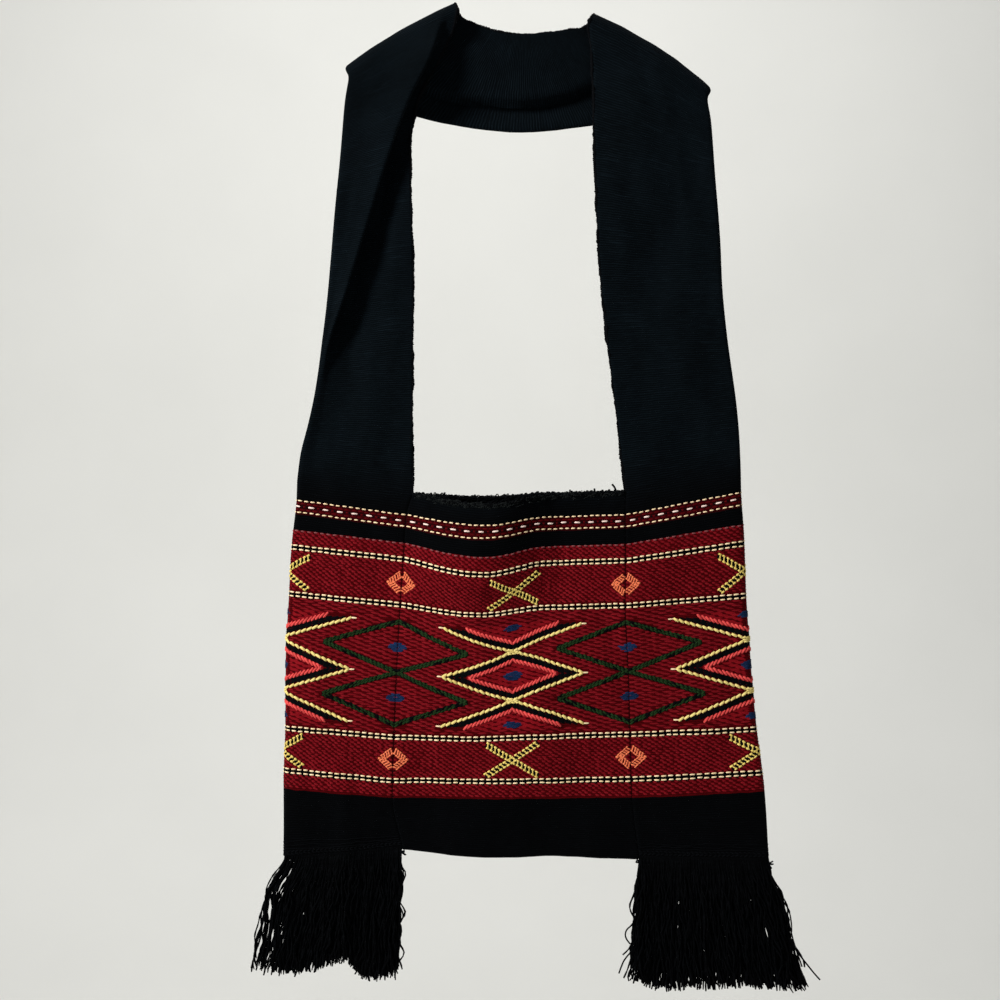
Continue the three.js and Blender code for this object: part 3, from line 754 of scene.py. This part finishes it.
SEAM_SPOT = (6.8, 3.6)  # half the width and height of the blue spots
MIDDLE_SPOT = (8.0, 3.8)
END_SPOT = (7.4, 2.8)

# The sizes of floats: length, width and height
STRIPE_DASH = (3.6, 1.1, 0.7)
MAROON_DASH = (4.4, 1.3, 0.5)
BESIDE_CREAM = (1.7, 1.4, 0.6)
LINE_DASH = (3.95, 1.3, 0.7)
CROSSING_BED = (3.4, 4.1, 0.4)
RING_TIP = (2.6, 2.0, 0.8)
SPOT_FLOAT = (4.6, 1.45, 0.75)
YELLOW_STROKE = (5.4, 2.15, 1.25)
YELLOW_KNOT = (3.5, 1.5, 1.45)
YELLOW_TIP = (4.8, 1.3, 0.7)
BLACK_STROKE = (6.3, 1.75, 0.55)
SCARLET_BED = (6.4, 3.9, 0.45)
CORAL_STROKE = (6.5, 2.0, 1.35)
GREEN_STROKE = (4.5, 1.75)  # the height varies
GREEN_BED = (4.4, 4.5, 0.5)

# The middle figure: steps in each arm, and its strokes' yarn, offset from the yellow line, size and lean
BLACK_BAND = [("black", offset, BLACK_STROKE, 0) for offset in BLACK_OFFSETS]
STROKES = (
    (13, [("yellow", 0.0, YELLOW_STROKE, 15)]),
    (11, [*BLACK_BAND, ("scarlet", CORAL_OFFSET, SCARLET_BED, 0)]),
    (18, [("coral", CORAL_OFFSET, CORAL_STROKE, 30)]),
)

FIGURES = {name: [] for name in YARNS}
JITTER = np.random.default_rng(5)

# Rows of floats across the whole strip: yarn, place, number of floats, their size, and shift in steps
ROWS = [
    ("pale", 14.3, 36, STRIPE_DASH, 0.0),
    ("pale", 23.0, 36, STRIPE_DASH, 0.0),
    ("maroon", 16.4, 36, MAROON_DASH, 0.5),
    ("maroon", 20.9, 36, MAROON_DASH, 0.5),
    ("cream", STRIPE, 16, (5.1, 1.35, 0.95), 0.0),
    ("maroon", STRIPE, 16, (2.6, 1.4, 0.5), 0.5),
    ("black", STRIPE, 16, BESIDE_CREAM, 0.35),
    ("black", STRIPE, 16, BESIDE_CREAM, 0.65),
    ("pink", 36.9, 36, (3.3, 1.25, 0.7), 0.0),
]
ROWS += [("pale", v + side * DOUBLE_HALF, 36, LINE_DASH, 0.0) for v in DOUBLE_LINES for side in (-1, 1)]


def weave(yarn, u, v, size, slant=0.0):
    """One float, with a hand weaver's small unevenness, where it lies on the strip."""
    length, width, height = size
    du, dv, dl = JITTER.normal(0, 0.13), JITTER.normal(0, 0.11), JITTER.normal(0, 0.14)
    if abs(u) <= EDGE - EDGE_MARGIN:
        tilt = slant + JITTER.normal(0, 2.0)
        FIGURES[yarn].append((u + du, v + dv, length + dl, width, height, tilt))


def borders():
    """The dashed stripe under the mouth, the red field's edge and the four double lines."""
    for yarn, v, count, size, shift in ROWS:
        for i in range(count):
            weave(yarn, -EDGE + (i + 0.5 + shift) * STRIP / count, v, size)


def ladder(half, dash, wide, rung):
    """Two staggered rows of dashes beside a line, with slanting rungs between them. Each row is its place
    beside the line, its lead in steps, the size of its floats and their turn."""
    lead, side = 0.22, (dash, wide, 0.85)
    return [(-half, -lead, side, 0), (0, 0, (2 * half, rung, 0.66), 62), (half, lead, side, 0)]


GOLD_LADDER = ladder(1.75, 2.9, 1.75, 1.3)
ORANGE_LADDER = ladder(1.95, 2.3, 1.35, 1.25)


def along_line(yarn, start, end, pitch, rows):
    """Rows of floats at even steps along a line."""
    (u0, v0), (u1, v1) = start, end
    run = math.hypot(u1 - u0, v1 - v0)
    count = max(1, round(run / pitch))
    along_u, along_v = (u1 - u0) / run, (v1 - v0) / run
    tilt = math.degrees(math.atan2(v1 - v0, u1 - u0))
    for k in range(count):
        for beside, ahead, size, turn in rows:
            part = (k + 0.5 + ahead) * run / count
            u, v = u0 + along_u * part - beside * along_v, v0 + along_v * part + beside * along_u
            weave(yarn, u, v, size, tilt + turn)


def crossing(v):
    """A ladder X between two double lines."""
    for side in (-1, 1):
        ends = (-X_HALF_U, v - side * X_HALF_V), (X_HALF_U, v + side * X_HALF_V)
        along_line("gold", *ends, 3.5, GOLD_LADDER)
        along_line("black", *ends, 2.6, [(0, 0, CROSSING_BED, 0)])


def ring(v):
    """A ladder diamond that lies across the seam, so half of it is at each edge of the strip."""
    for side in (-1, 1):
        weave("orange", side * (EDGE - RING_HALF_U - 1.5), v, RING_TIP)
        for turn in (-1, 1):
            tip, foot = (side * (EDGE - RING_HALF_U), v), (side * (EDGE - 0.6), v + turn * RING_HALF_V)
            along_line("orange", tip, foot, 2.4, ORANGE_LADDER)


def spot(v, centre_u, half_u, half_v):
    """A small blue lozenge of loose floats, whole on the strip's middle or one half of it at an edge."""
    rows = np.arange(-half_v + 0.7, half_v, 1.25)
    for row, offset in enumerate(rows):
        half = half_u * (1 - 0.75 * abs(offset / half_v) ** 1.15)
        count = max(1, round(half / 2.1))
        for k in range(-count, count):
            u = centre_u + (k + 0.5 + 0.3 * (row % 2)) * half / count
            rim = abs(k + 0.5) > count - 1 or row in (0, len(rows) - 1)
            if not rim or JITTER.random() > 0.12:
                weave("blue", u, v + offset, SPOT_FLOAT, JITTER.normal(-6, 4))


def arms(first_falls, count):
    """Each step of an arm in four quarters: how far along it is, the place of its line, 1 where the line
    falls or -1 where it rises, and the quarter."""
    for quarter in range(4):
        falls = (quarter % 2 == 0) == first_falls
        start = TOP + QUARTER * (quarter if falls else quarter + 1)
        sign = 1 if falls else -1
        for i in range(count):
            along = (i + 0.5) * ARM_REACH / count
            yield along, start + sign * along * SLOPE, sign, quarter


def inward(quarter):
    """The side of the yellow line on which the black and coral bands lie: up or down."""
    return -1 if quarter in (0, 2) else 1


def inside_line(u, v, quarter):
    """How far a place lies inside the middle figure's yellow line in one of its quarters."""
    crossing_v = TOP + QUARTER * (1 if quarter < 2 else 3)
    return inward(quarter) * (v - crossing_v) - abs(u) * SLOPE


def in_coral(u, v):
    """Whether a place lies inside the coral lines of the middle figure."""
    inside = [inside_line(u, v, quarter) > CORAL_OFFSET + 1.2 for quarter in range(4)]
    return TOP - 2 < v < FOOT + 2 and (inside[0] or (inside[1] and inside[2]) or inside[3])


def under_figure(u, v):
    """Whether a place is hidden by a crossing or by the middle figure's or the green figures' bands."""
    for middle in CROSSINGS:
        leg = abs(u) * X_HALF_V / X_HALF_U
        if abs(u) < X_HALF_U and min(abs(v - middle - leg), abs(v - middle + leg)) < 2.5:
            return True
    if not TOP - 2 < v < FOOT + 2:
        return False
    edge = EDGE - abs(u)
    wave = abs((v - TOP) / QUARTER % 2 - 1)
    if edge < ARM_REACH + 1 and abs((1 - wave) * QUARTER - edge * SLOPE) < 1.9:
        return True
    if abs(u) > ARM_REACH + 1:
        return False
    for quarter in range(4):
        wrong_half = (quarter == 1 and v > CENTRE) or (quarter == 2 and v < CENTRE)
        if not wrong_half and -1.7 < inside_line(u, v, quarter) < CORAL_OFFSET + 1.4:
            return True
    return False


def shown(v, quarter):
    """Whether a stroke lies in its own quarter and between the figure's ends."""
    crosses = quarter in (1, 2) and (v - CENTRE) * (quarter - 1.5) < 0
    return abs(v - CENTRE) <= 2 * QUARTER + 0.3 and not crosses


def middle_figure():
    """Yellow, black and coral diamonds on the strip's middle."""
    for count, strokes in STROKES:
        for along, v, sign, quarter in arms(False, count):
            for side in (-1, 1):
                for yarn, offset, size, lean in strokes:
                    w = v + inward(quarter) * offset
                    if shown(w, quarter):
                        weave(yarn, side * along, w, size, side * sign * (LINE_TILT + lean))
    for k in (0, 2, 4):
        for side in (-1, 1):
            weave("pale", side * (ARM_REACH + 1.6), TOP + k * QUARTER, YELLOW_TIP)
    for k in (1, 3):
        for offset in (-1.2, 0.3, 1.7):
            for u in (-3.4, 0.0, 3.4):
                weave("yellow", u + 0.5 * offset, TOP + k * QUARTER + offset, YELLOW_KNOT, 10)


def green_figures():
    """Green diamonds over the strip's seams, with blue spots."""
    for edge, side in ((-EDGE, 1), (EDGE, -1)):
        for along, v, sign, _ in arms(True, 19):
            u, tilt = edge + side * along, side * sign * LINE_TILT
            for offset in (-0.85, 0.85):
                yarn = "black" if JITTER.random() < 0.16 else "green"
                size = (*GREEN_STROKE, JITTER.uniform(0.7, 1.2))
                weave(yarn, u, v + offset, size, tilt + side * sign * 22)
            weave("black", u, v, GREEN_BED, tilt)
        for v in (TOP + QUARTER, TOP + 3 * QUARTER):
            spot(v, edge, *SEAM_SPOT)


def ground_floats():
    """The red ground's own floats, in bricks, twice as long among the diamonds."""
    found = {"red": [], "scarlet": []}
    for (start, red), (end, _) in zip(BANDS, BANDS[1:]):
        if red < 1:
            continue
        among = start < CENTRE < end
        pitch, length, slant = (2 * COLUMN, 8.4, 3.5) if among else (COLUMN, 3.9, 12.0)
        halves = (-0.25, 0.25) if among else (0.0,)
        for j, v in enumerate(np.arange(start + 1.4, end - 1.0, GROUND_ROW)):
            for i in range(round(STRIP / pitch)):
                u = -EDGE + (i + 0.25 + 0.5 * (j % 2)) * pitch + JITTER.normal(0, 0.32)
                free = [part for part in halves if not under_figure(u + part * length, v)]
                if not free:
                    continue
                inside = among and in_coral(u, v)
                share = len(free) / len(halves)
                place = np.clip(u + (0 if share == 1 else free[0] * length), -GROUND_END, GROUND_END)
                wide, high = (2.1, 0.36) if inside else (1.56, 0.42)
                long = share * length + (1.2 if inside else 0) + JITTER.normal(0, 0.5)
                tilt = slant + JITTER.normal(0, 4.0)
                row = (place, v + JITTER.normal(0, 0.15), long, wide, high, tilt)
                found["scarlet" if inside else "red"].append(row)
    return found


borders()
for band_middle in CROSSINGS:
    crossing(band_middle)
    ring(band_middle)
middle_figure()
green_figures()
spot(CENTRE, 0.0, *MIDDLE_SPOT)
for spot_middle in (TOP + 0.6, FOOT - 0.6):
    spot(spot_middle, 0.0, *END_SPOT)
GROUND = ground_floats()

# The cloth
panel_grid, panel_down, front_rows = panel_surface()
panel_across = np.broadcast_to(np.linspace(-EDGE, EDGE, PANEL_COLUMNS + 1), panel_grid.shape[:2])
panel, panel_outside = wall("panel_cloth", panel_grid, panel_across, panel_down, "figured_cloth")
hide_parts("front_panel", "back_panel")

band_grid, band_across, band_down, gusset_rows = band_surface()
band, band_outside = wall("band_cloth", band_grid, band_across, band_down, "black_cloth")
SIDES = ("left_side_front", "left_side_back", "right_side_front", "right_side_back")
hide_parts(*SIDES, "left_strap", "left_turn", "neck_strap", "right_turn", "right_strap")

SIDE_SHIFT = 2.8  # how far a side's middle line lies from its fold
back_rows = slice(-front_rows, None)
panel_normal = panel_outside[1]
FRONT = Strip(*panel_outside, slice(front_rows))
BACK = Strip(*panel_outside, back_rows)
INSIDE = Strip(panel_grid - panel_normal * CLOTH / 2, -panel_normal, panel_across, panel_down, back_rows)
LEFT = Strip(*band_outside, slice(gusset_rows), SIDE_SHIFT)
RIGHT = Strip(*band_outside, slice(-gusset_rows, None), -SIDE_SHIFT)

panel_pieces, band_pieces = [], []


def dress(pieces, name, shapes, yarn="black", slot="black_cloth"):
    pieces.append(mesh_piece(name, *shapes, YARNS[yarn], slot))


OWNERS = (
    ("panel", (FRONT, BACK), "figured_cloth", panel_pieces),
    ("band", (LEFT, RIGHT), "black_cloth", band_pieces),
)
for owner, strips, slot_name, pieces in OWNERS:
    for yarn, floats in FIGURES.items():
        if floats:
            dress(pieces, f"{owner}_{yarn}_floats", float_mesh(floats, strips), yarn, slot_name)
    for yarn, floats in GROUND.items():
        shapes = float_mesh(floats, strips, SHORT_FLOAT, one_hand=True)
        dress(pieces, f"{owner}_{yarn}_ground", shapes, yarn, slot_name)

# Selvedges, lips and seams


def edge_line(points, spacing):
    length = run_along(points)
    return between(np.arange(0, length[-1], spacing), length, points)


def selvedge(points, seed, radius):
    """The weft's turns along an edge: an uneven row of small bumps."""
    line = edge_line(points, 0.8)
    random = np.random.default_rng(seed)
    count = len(line)

    def drift(reach):
        width = 2 * reach + 1
        values = random.normal(0, 1, count + 2 * reach)
        return np.convolve(values, np.ones(width) / math.sqrt(width), "valid")

    size = radius + 0.24 * np.sin(2 * np.pi * np.arange(count) / 2.06) + random.normal(0, 0.18, count)
    size += 0.17 * drift(20) + 0.22 * drift(4)
    line[:, 0] += 0.35 * drift(9)
    return tubes(line[None], np.clip(size, 0.45, 2.2)[None], 5)


strap_rows = slice(gusset_rows - 1, 1 - gusset_rows)
strap_edges = [selvedge(band_grid[strap_rows, edge], seed, 0.95) for edge, seed in ((0, 21), (-1, 22))]
dress(band_pieces, "strap_selvedges", merged(strap_edges))

LOOP_POINTS = 6


def loops(strip, u, v, seed, reach, radius):
    """Fuzzy loops of yarn that stand out from a strip's face at the places u, v."""
    random = np.random.default_rng(seed)
    foot, along, down, out = strip.frame(u, v)
    count = len(u)
    each = (count, 1, 1)
    turn = np.linspace(0, np.pi, LOOP_POINTS)[None, :, None]
    wide = random.uniform(0.5, 1.4, each)
    high = random.uniform(0.4, 1.0, each) * reach
    rise = random.normal(0.9, 0.35, each)
    side = random.normal(0, 0.45, each)
    path = foot[:, None] - np.cos(turn) * wide * along[:, None] - np.sin(turn) * high * rise * down[:, None]
    path = path + np.sin(turn) * high * (0.7 * out[:, None] + side * along[:, None])
    return tubes(path, np.full((count, LOOP_POINTS), radius) * random.uniform(0.75, 1.2, (count, 1)), 3)


# Loops at the lips: strip, number, the distances from the mouth between which they lie, seed, reach, radius
LIP_LOOPS = [
    (INSIDE, 1150, (0.4, 12.0), 33, 1.9, 0.46),
    (BACK, 480, (0.2, 1.6), 34, 2.0, 0.56),
    (FRONT, 520, (0.2, 1.8), 35, 1.7, 0.42),
]
LIP_END = 93.0
FLUFF_LOOPS = 420
lip_random = np.random.default_rng(37)
lip_parts = [selvedge(panel_grid[0], 31, 0.9), selvedge(panel_grid[-1], 32, 0.9)]
for strip, count, depths, seed, reach, radius in LIP_LOOPS:
    u = lip_random.uniform(-LIP_END, LIP_END, count)
    lip_parts.append(loops(strip, u, lip_random.uniform(*depths, count), seed, reach, radius))
dress(panel_pieces, "mouth_lips", merged(lip_parts))
fluff_u = -LIP_END + 2 * LIP_END * lip_random.beta(1.1, 1.6, FLUFF_LOOPS)
fluff_v = lip_random.normal(1.2, 1.0, FLUFF_LOOPS).clip(0.1, 4.2)
dress(panel_pieces, "mouth_fluff", loops(FRONT, fluff_u, fluff_v, 36, 2.0, 0.2), "grey")

SEAM_FROM, SEAM_TO, STITCH_PITCH = 4.0, 282.0, 5.2
STITCH = (2.6, 0.5, 0.3)
seam_random = np.random.default_rng(41)
stitches = []
for v in np.arange(SEAM_FROM, SEAM_TO, STITCH_PITCH):
    if min(abs(v - TOP - QUARTER), abs(v - TOP - 3 * QUARTER)) < 7:
        continue
    for side in (-1, 1):
        slant = seam_random.normal(40, 14) * side
        stitches.append((side * (EDGE - 0.5), v + seam_random.normal(0, 0.7), *STITCH, slant))
seam_parts = [float_mesh(stitches, (FRONT, BACK), lift=0.05)]
for edge, side in ((0, -1), (-1, 1)):
    line = edge_line(panel_grid[:, edge] + np.array([side * SEAM_GAP / 2, 0, 0]), 1.5)
    seam_parts.append(tubes(line[None], seam_random.uniform(0.25, 0.75, (1, len(line))), 5))
dress(panel_pieces, "seam_stitches", merged(seam_parts))

# Fringes


def curve(points, rounds=3):
    """A row of points as a smooth line, with its corners cut off."""
    line = np.array(points, float)
    for _ in range(rounds):
        early, late = 0.75 * line[:-1] + 0.25 * line[1:], 0.25 * line[:-1] + 0.75 * line[1:]
        line = np.concatenate([line[:1], np.stack([early, late], axis=1).reshape(-1, 3), line[-1:]])
    return line


def threads(lines, depth, radius):
    """Single loose threads, each along points given by their x and z at one depth."""
    parts = []
    for line in lines:
        path = curve([(x, depth, z) for x, z in line])
        size = np.full(len(path), radius)
        size[-1] *= 0.6
        parts.append(tubes(path[None], size[None], 5))
    return merged(parts)


# Strands that stand away from the fringes' rims, by their x and z
LEFT_CURL = [(-98.4, -680), (-98.8, -690.4), (-95.6, -696), (-93.4, -701.6), (-95.2, -706.4)]
LEFT_STRAYS = [
    [*LEFT_CURL, (-99.2, -711.2), (-101.2, -716.8), (-99.2, -728), (-100.8, -740)],
    [(-192, -664), (-196, -676), (-206, -690), (-208.5, -704), (-207, -716), (-212, -730), (-216, -744)],
    [(-191, -662), (-194, -674), (-203, -686), (-207, -698), (-203, -712), (-208, -728), (-212, -746)],
]
RIGHT_CURL = [(97, -690), (93.4, -702.4), (89.6, -708.8), (85, -712.5), (84, -717.5), (87.2, -722.8)]
RIGHT_STRAYS = [
    [*RIGHT_CURL, (91.5, -726), (90.4, -733.5), (88.8, -744)],
    [(98, -716), (95.2, -724), (88.8, -730.2), (83.5, -736.5), (81.5, -741), (79.2, -747.4)],
    [(214, -716), (221.4, -729.4), (228.5, -738.2), (235.5, -747.1), (240.5, -752.6)],
    [(199, -664), (205, -680), (211, -692), (216, -708), (219, -722), (226, -742)],
]
STRANDS, KNOTS, LOCKS = 690, 28, 30


def fringe(side, end_row, seed, spread, strays):
    """The band's loose warp ends, twined together under its edge and hanging in uneven locks. With spread
    the strands at the outer rim swing out early."""
    random, crimp_random = np.random.default_rng(seed), np.random.default_rng(seed + 100)
    count, pairs = STRANDS, (2, STRANDS, 1)
    edge, across = band_grid[end_row], band_across[end_row]

    # Where each strand starts, and the lock that it hangs in
    u = (np.arange(count) + random.uniform(0.1, 0.9, count)) / count
    u = np.clip(u * STRIP - EDGE, -EDGE + 0.8, EDGE - 0.8)
    root = between(u, across, edge)
    inner, outer = edge[0, 0], edge[np.argmin(np.abs(across)), 0]
    share = np.clip((root[:, 0] - outer) / (inner - outer), 0, 1)
    lock = np.clip(np.round(share * LOCKS + random.normal(0, 0.4, count)), 0, LOCKS).astype(int)
    rim = bell(np.minimum(share, 1 - share) / 0.11)
    loose = spread * bell(share / 0.17)
    loose = np.where(loose > 0.35, loose, 0)

    # Where it ends
    gather = random.uniform(0.0, 0.1, count) + 0.5 * rim * random.uniform(0.4, 1.0, count)
    gather = np.where(loose > 0, 0.96, gather)
    stray = random.normal(0, 0.018, count) * (1 - 0.85 * loose)
    aim = np.clip(share * (1 - gather) + lock / LOCKS * gather + stray, 0, 1)
    tip = at(TIPS, aim * LAST_TIP)
    tip_x = tip[f"{side}_x"] + random.normal(0, 2.2, count) * (1 - 0.8 * loose)
    trimmed = np.where(random.random(count) < 0.14, random.uniform(4, 18, count), 0)
    tip_z = tip[f"{side}_z"] + np.abs(random.normal(0, 4.5, count)) + trimmed - 3.5
    depth = np.where(u < 0, -1.0, 1.0) * random.uniform(0.2, 3.4, count) + random.normal(0, 1.6, count)

    # How it waves on the way, by itself, with its lock, in its crimp and in the curl at its tip
    t = np.linspace(0, 1, KNOTS)[None, :]
    grown = np.minimum(t / 0.22, 1) ** 1.4
    own = random.uniform(0.4, 1.7, pairs) + 1.8 * rim[:, None] * random.random(pairs)
    own = own * grown * (1 - 0.75 * loose[:, None])
    own = own * (0.4 + 0.6 * np.clip(np.abs(depth) / 2, 0, 1))[:, None]
    pace, phase = random.uniform(0.7, 3.3, pairs), random.uniform(0, FULL_TURN, pairs)
    own = own * np.sin(2 * np.pi * pace * t + phase)
    lock_size = random.uniform(0.2, 1.0, (2, LOCKS + 1))[:, lock][:, :, None]
    lock_phase = random.uniform(0, FULL_TURN, (2, LOCKS + 1))[:, lock][:, :, None]
    lock_pace = random.uniform(0.8, 2.0, LOCKS + 1)[lock][:, None]
    shared = np.sin(2 * np.pi * lock_pace * t + lock_phase) * lock_size
    shared = shared * grown * (1 + rim + 0.8 * loose)[:, None]
    crimp_pace = crimp_random.uniform(3.2, 6.2, pairs)
    crimp_phase = crimp_random.uniform(0, FULL_TURN, pairs)
    crimp = crimp_random.uniform(0.25, 0.95, pairs) * grown
    crimp = crimp * np.sin(2 * np.pi * crimp_pace * t + crimp_phase)
    curl = random.normal(0, 2.1, (count, 1)) * np.clip(t - 0.78, 0, 1) ** 2 * 20
    wave_x, wave_y = own + shared + crimp

    early = spread * bell(share / 0.3)[:, None]
    swing = (1 - early) * (0.75 * t + 0.25 * t**1.7) + early * (0.5 * smooth(0.02, 0.42, t) + 0.5 * t)
    x = root[:, :1] + (tip_x[:, None] - root[:, :1]) * swing + wave_x + curl
    y = root[:, 1:2] + depth[:, None] * t**0.8 + wave_y
    z = root[:, 2:3] + (tip_z[:, None] - root[:, 2:3]) * t + 0.5 * np.abs(curl)
    thick = random.uniform(0.62, 0.84, (count, 1)) * (1 + 0.12 * np.sin(30 * t + phase[0]))
    thick[:, -1] *= 0.8
    kept = random.random(count) > 0.7 * loose
    strands = tubes(np.stack([x, y, z], axis=2)[kept], thick[kept], 4, 0.6)
    apart = threads(strays, edge[0, 1], 0.66)
    piece = mesh_piece(f"{side}_fringe_strands", *merged([strands, apart]), FRINGE_LOOK, "fringe_yarn")
    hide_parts(f"{side}_fringe")
    return piece


left_fringe = fringe("left", 0, 51, 1.0, LEFT_STRAYS)
right_fringe = fringe("right", -1, 52, 0.25, RIGHT_STRAYS)

# The twined thread at the band's ends: its rows and their slants, and the wandering threads above it
TWINING_ROWS = ((282.9, 22.0), (284.8, -22.0))
WANDERING_ROWS = (276.5, 279.4, 281.2)
TWINING_FLOATS, TWINING_POINTS = 58, 160
TWINING_FLOAT = (3.8, 1.3, 0.75)
header_random = np.random.default_rng(61)
twining = []
for i in range(TWINING_FLOATS):
    for v, slant in TWINING_ROWS:
        place = -EDGE + (i + 0.5) * STRIP / TWINING_FLOATS
        twining.append((place, v + header_random.normal(0, 0.15), *TWINING_FLOAT, slant))
header_parts = [float_mesh(twining, (LEFT, RIGHT))]
for strip in (LEFT, RIGHT):
    for v in WANDERING_ROWS:
        u = np.linspace(-EDGE + 1, EDGE - 1, TWINING_POINTS)
        wander = np.convolve(header_random.normal(0, 1, TWINING_POINTS + 16), np.ones(17) / 4.1, "valid")
        point, _, _, out = strip.frame(u, v + 0.55 * wander)
        header_parts.append(tubes((point + 0.15 * out)[None], np.full((1, TWINING_POINTS), 0.42), 5))
dress(band_pieces, "fringe_twining", merged(header_parts))

# Small tufts at the ends of the twining and loose threads at the mouth, by their x and z
TUFTS = [(-96.0, -650.0, 1), (96.5, -657.5, -1), (199.0, -659.5, 1)]
tuft_lines = []
for x, z, side in TUFTS:
    for _ in range(7):
        reach, drop = side * header_random.uniform(1.5, 5.0), header_random.uniform(-2.0, 4.5)
        bend = header_random.uniform(-1.5, 1.5)
        tuft_lines.append([(x, z), (x + 0.5 * reach, z - 0.3 * drop + bend), (x + reach, z - drop)])
dress(band_pieces, "twining_tufts", threads(tuft_lines, band_grid[0, 0, 1] - 2.0, 0.62))
LOOSE_ENDS = [
    [(78.2, -367), (77.9, -360.8), (76.4, -357.4), (74.4, -355.2)],
    [(60.0, -364), (60.6, -361), (60.2, -358.6)],
    [(-60.0, -367), (-61.0, -364), (-60.4, -361.8)],
]
dress(panel_pieces, "mouth_threads", threads(LOOSE_ENDS, panel_grid[-1, 4, 1], 0.85))

# Floor, light and camera, in metres
FLOOR_HALF, FLOOR_LEVEL, WALL_TOP = 6.0, -1.35, 5.0
SWEEP_FROM, SWEEP_RADIUS = 1.5, 1.2
FLOOR_COLOUR = (0.71, 0.715, 0.695)


def floor_material():
    n = Nodes("pale_floor")
    place = n.add("TexCoord").outputs["Object"]
    grain = n.noise(place, 3.0, 4.0)
    dark = tuple(0.97 * c for c in FLOOR_COLOUR)
    tone = n.ramp(grain, [(0.3, dark), (0.7, FLOOR_COLOUR)])
    return n.finish(tone, grain, 0.0005, 0.8, 0.0, (1, 1, 1), 0.2)


def floor():
    """A pale floor that sweeps up far behind."""
    profile = [(-FLOOR_HALF, 0.0), (SWEEP_FROM, 0.0)]
    for angle in np.radians(np.arange(5, 91, 5)):
        rise = SWEEP_RADIUS - SWEEP_RADIUS * math.cos(angle)
        profile.append((SWEEP_FROM + SWEEP_RADIUS * math.sin(angle), rise))
    profile.append((SWEEP_FROM + SWEEP_RADIUS, WALL_TOP))
    mesh = bpy.data.meshes.new("floor")
    points = [(x, y, z + FLOOR_LEVEL) for y, z in profile for x in (-FLOOR_HALF, FLOOR_HALF)]
    faces = [(2 * i, 2 * i + 1, 2 * i + 3, 2 * i + 2) for i in range(len(profile) - 1)]
    mesh.from_pydata(points, [], faces, shade_flat=False)
    mesh.materials.append(floor_material())
    sweep = linked("floor", mesh)


def area_light(name, place, target, size, power, colour):
    data = bpy.data.lights.new(name, "AREA")
    data.shape = "DISK"
    data.size = size
    data.energy = power
    data.color = colour
    light = linked(name, data)
    light.location = place
    direction = np.array(target, float) - np.array(place, float)
    light.rotation_euler = Vector(direction).to_track_quat("-Z", "Y").to_euler()


floor()
area_light("key", (-1.65, -1.35, 0.75), (0, 0, -0.4), 0.7, 90, (1.0, 0.98, 0.95))
area_light("fill", (1.7, -1.6, -0.1), (0, 0, -0.4), 1.8, 8, (0.95, 0.97, 1.0))
area_light("back", (0.0, 0.9, 1.4), (0, 2.7, -0.5), 2.4, 26, (1.0, 0.99, 0.97))

world = bpy.data.worlds.new("studio")
SCENE.world = world
world.use_nodes = True
background = world.node_tree.nodes["Background"].inputs
background["Color"].default_value = (0.80, 0.80, 0.79, 1)
background["Strength"].default_value = 0.38

CAMERA_DISTANCE = 1.25  # to the plane of the bag, which is FRAME_WIDTH wide in the picture
FRAME_WIDTH = 0.8
SENSOR = 36
camera_data = bpy.data.cameras.new("camera")
camera_data.sensor_width = SENSOR
camera_data.lens = SENSOR * CAMERA_DISTANCE / FRAME_WIDTH
camera = linked("camera", camera_data)
camera.location = (-0.016, -0.015 - CAMERA_DISTANCE, -0.368)
camera.rotation_euler = (math.pi / 2, 0, 0)
SCENE.camera = camera
SCENE.view_settings.view_transform = "Standard"
SCENE.view_settings.look = "None"
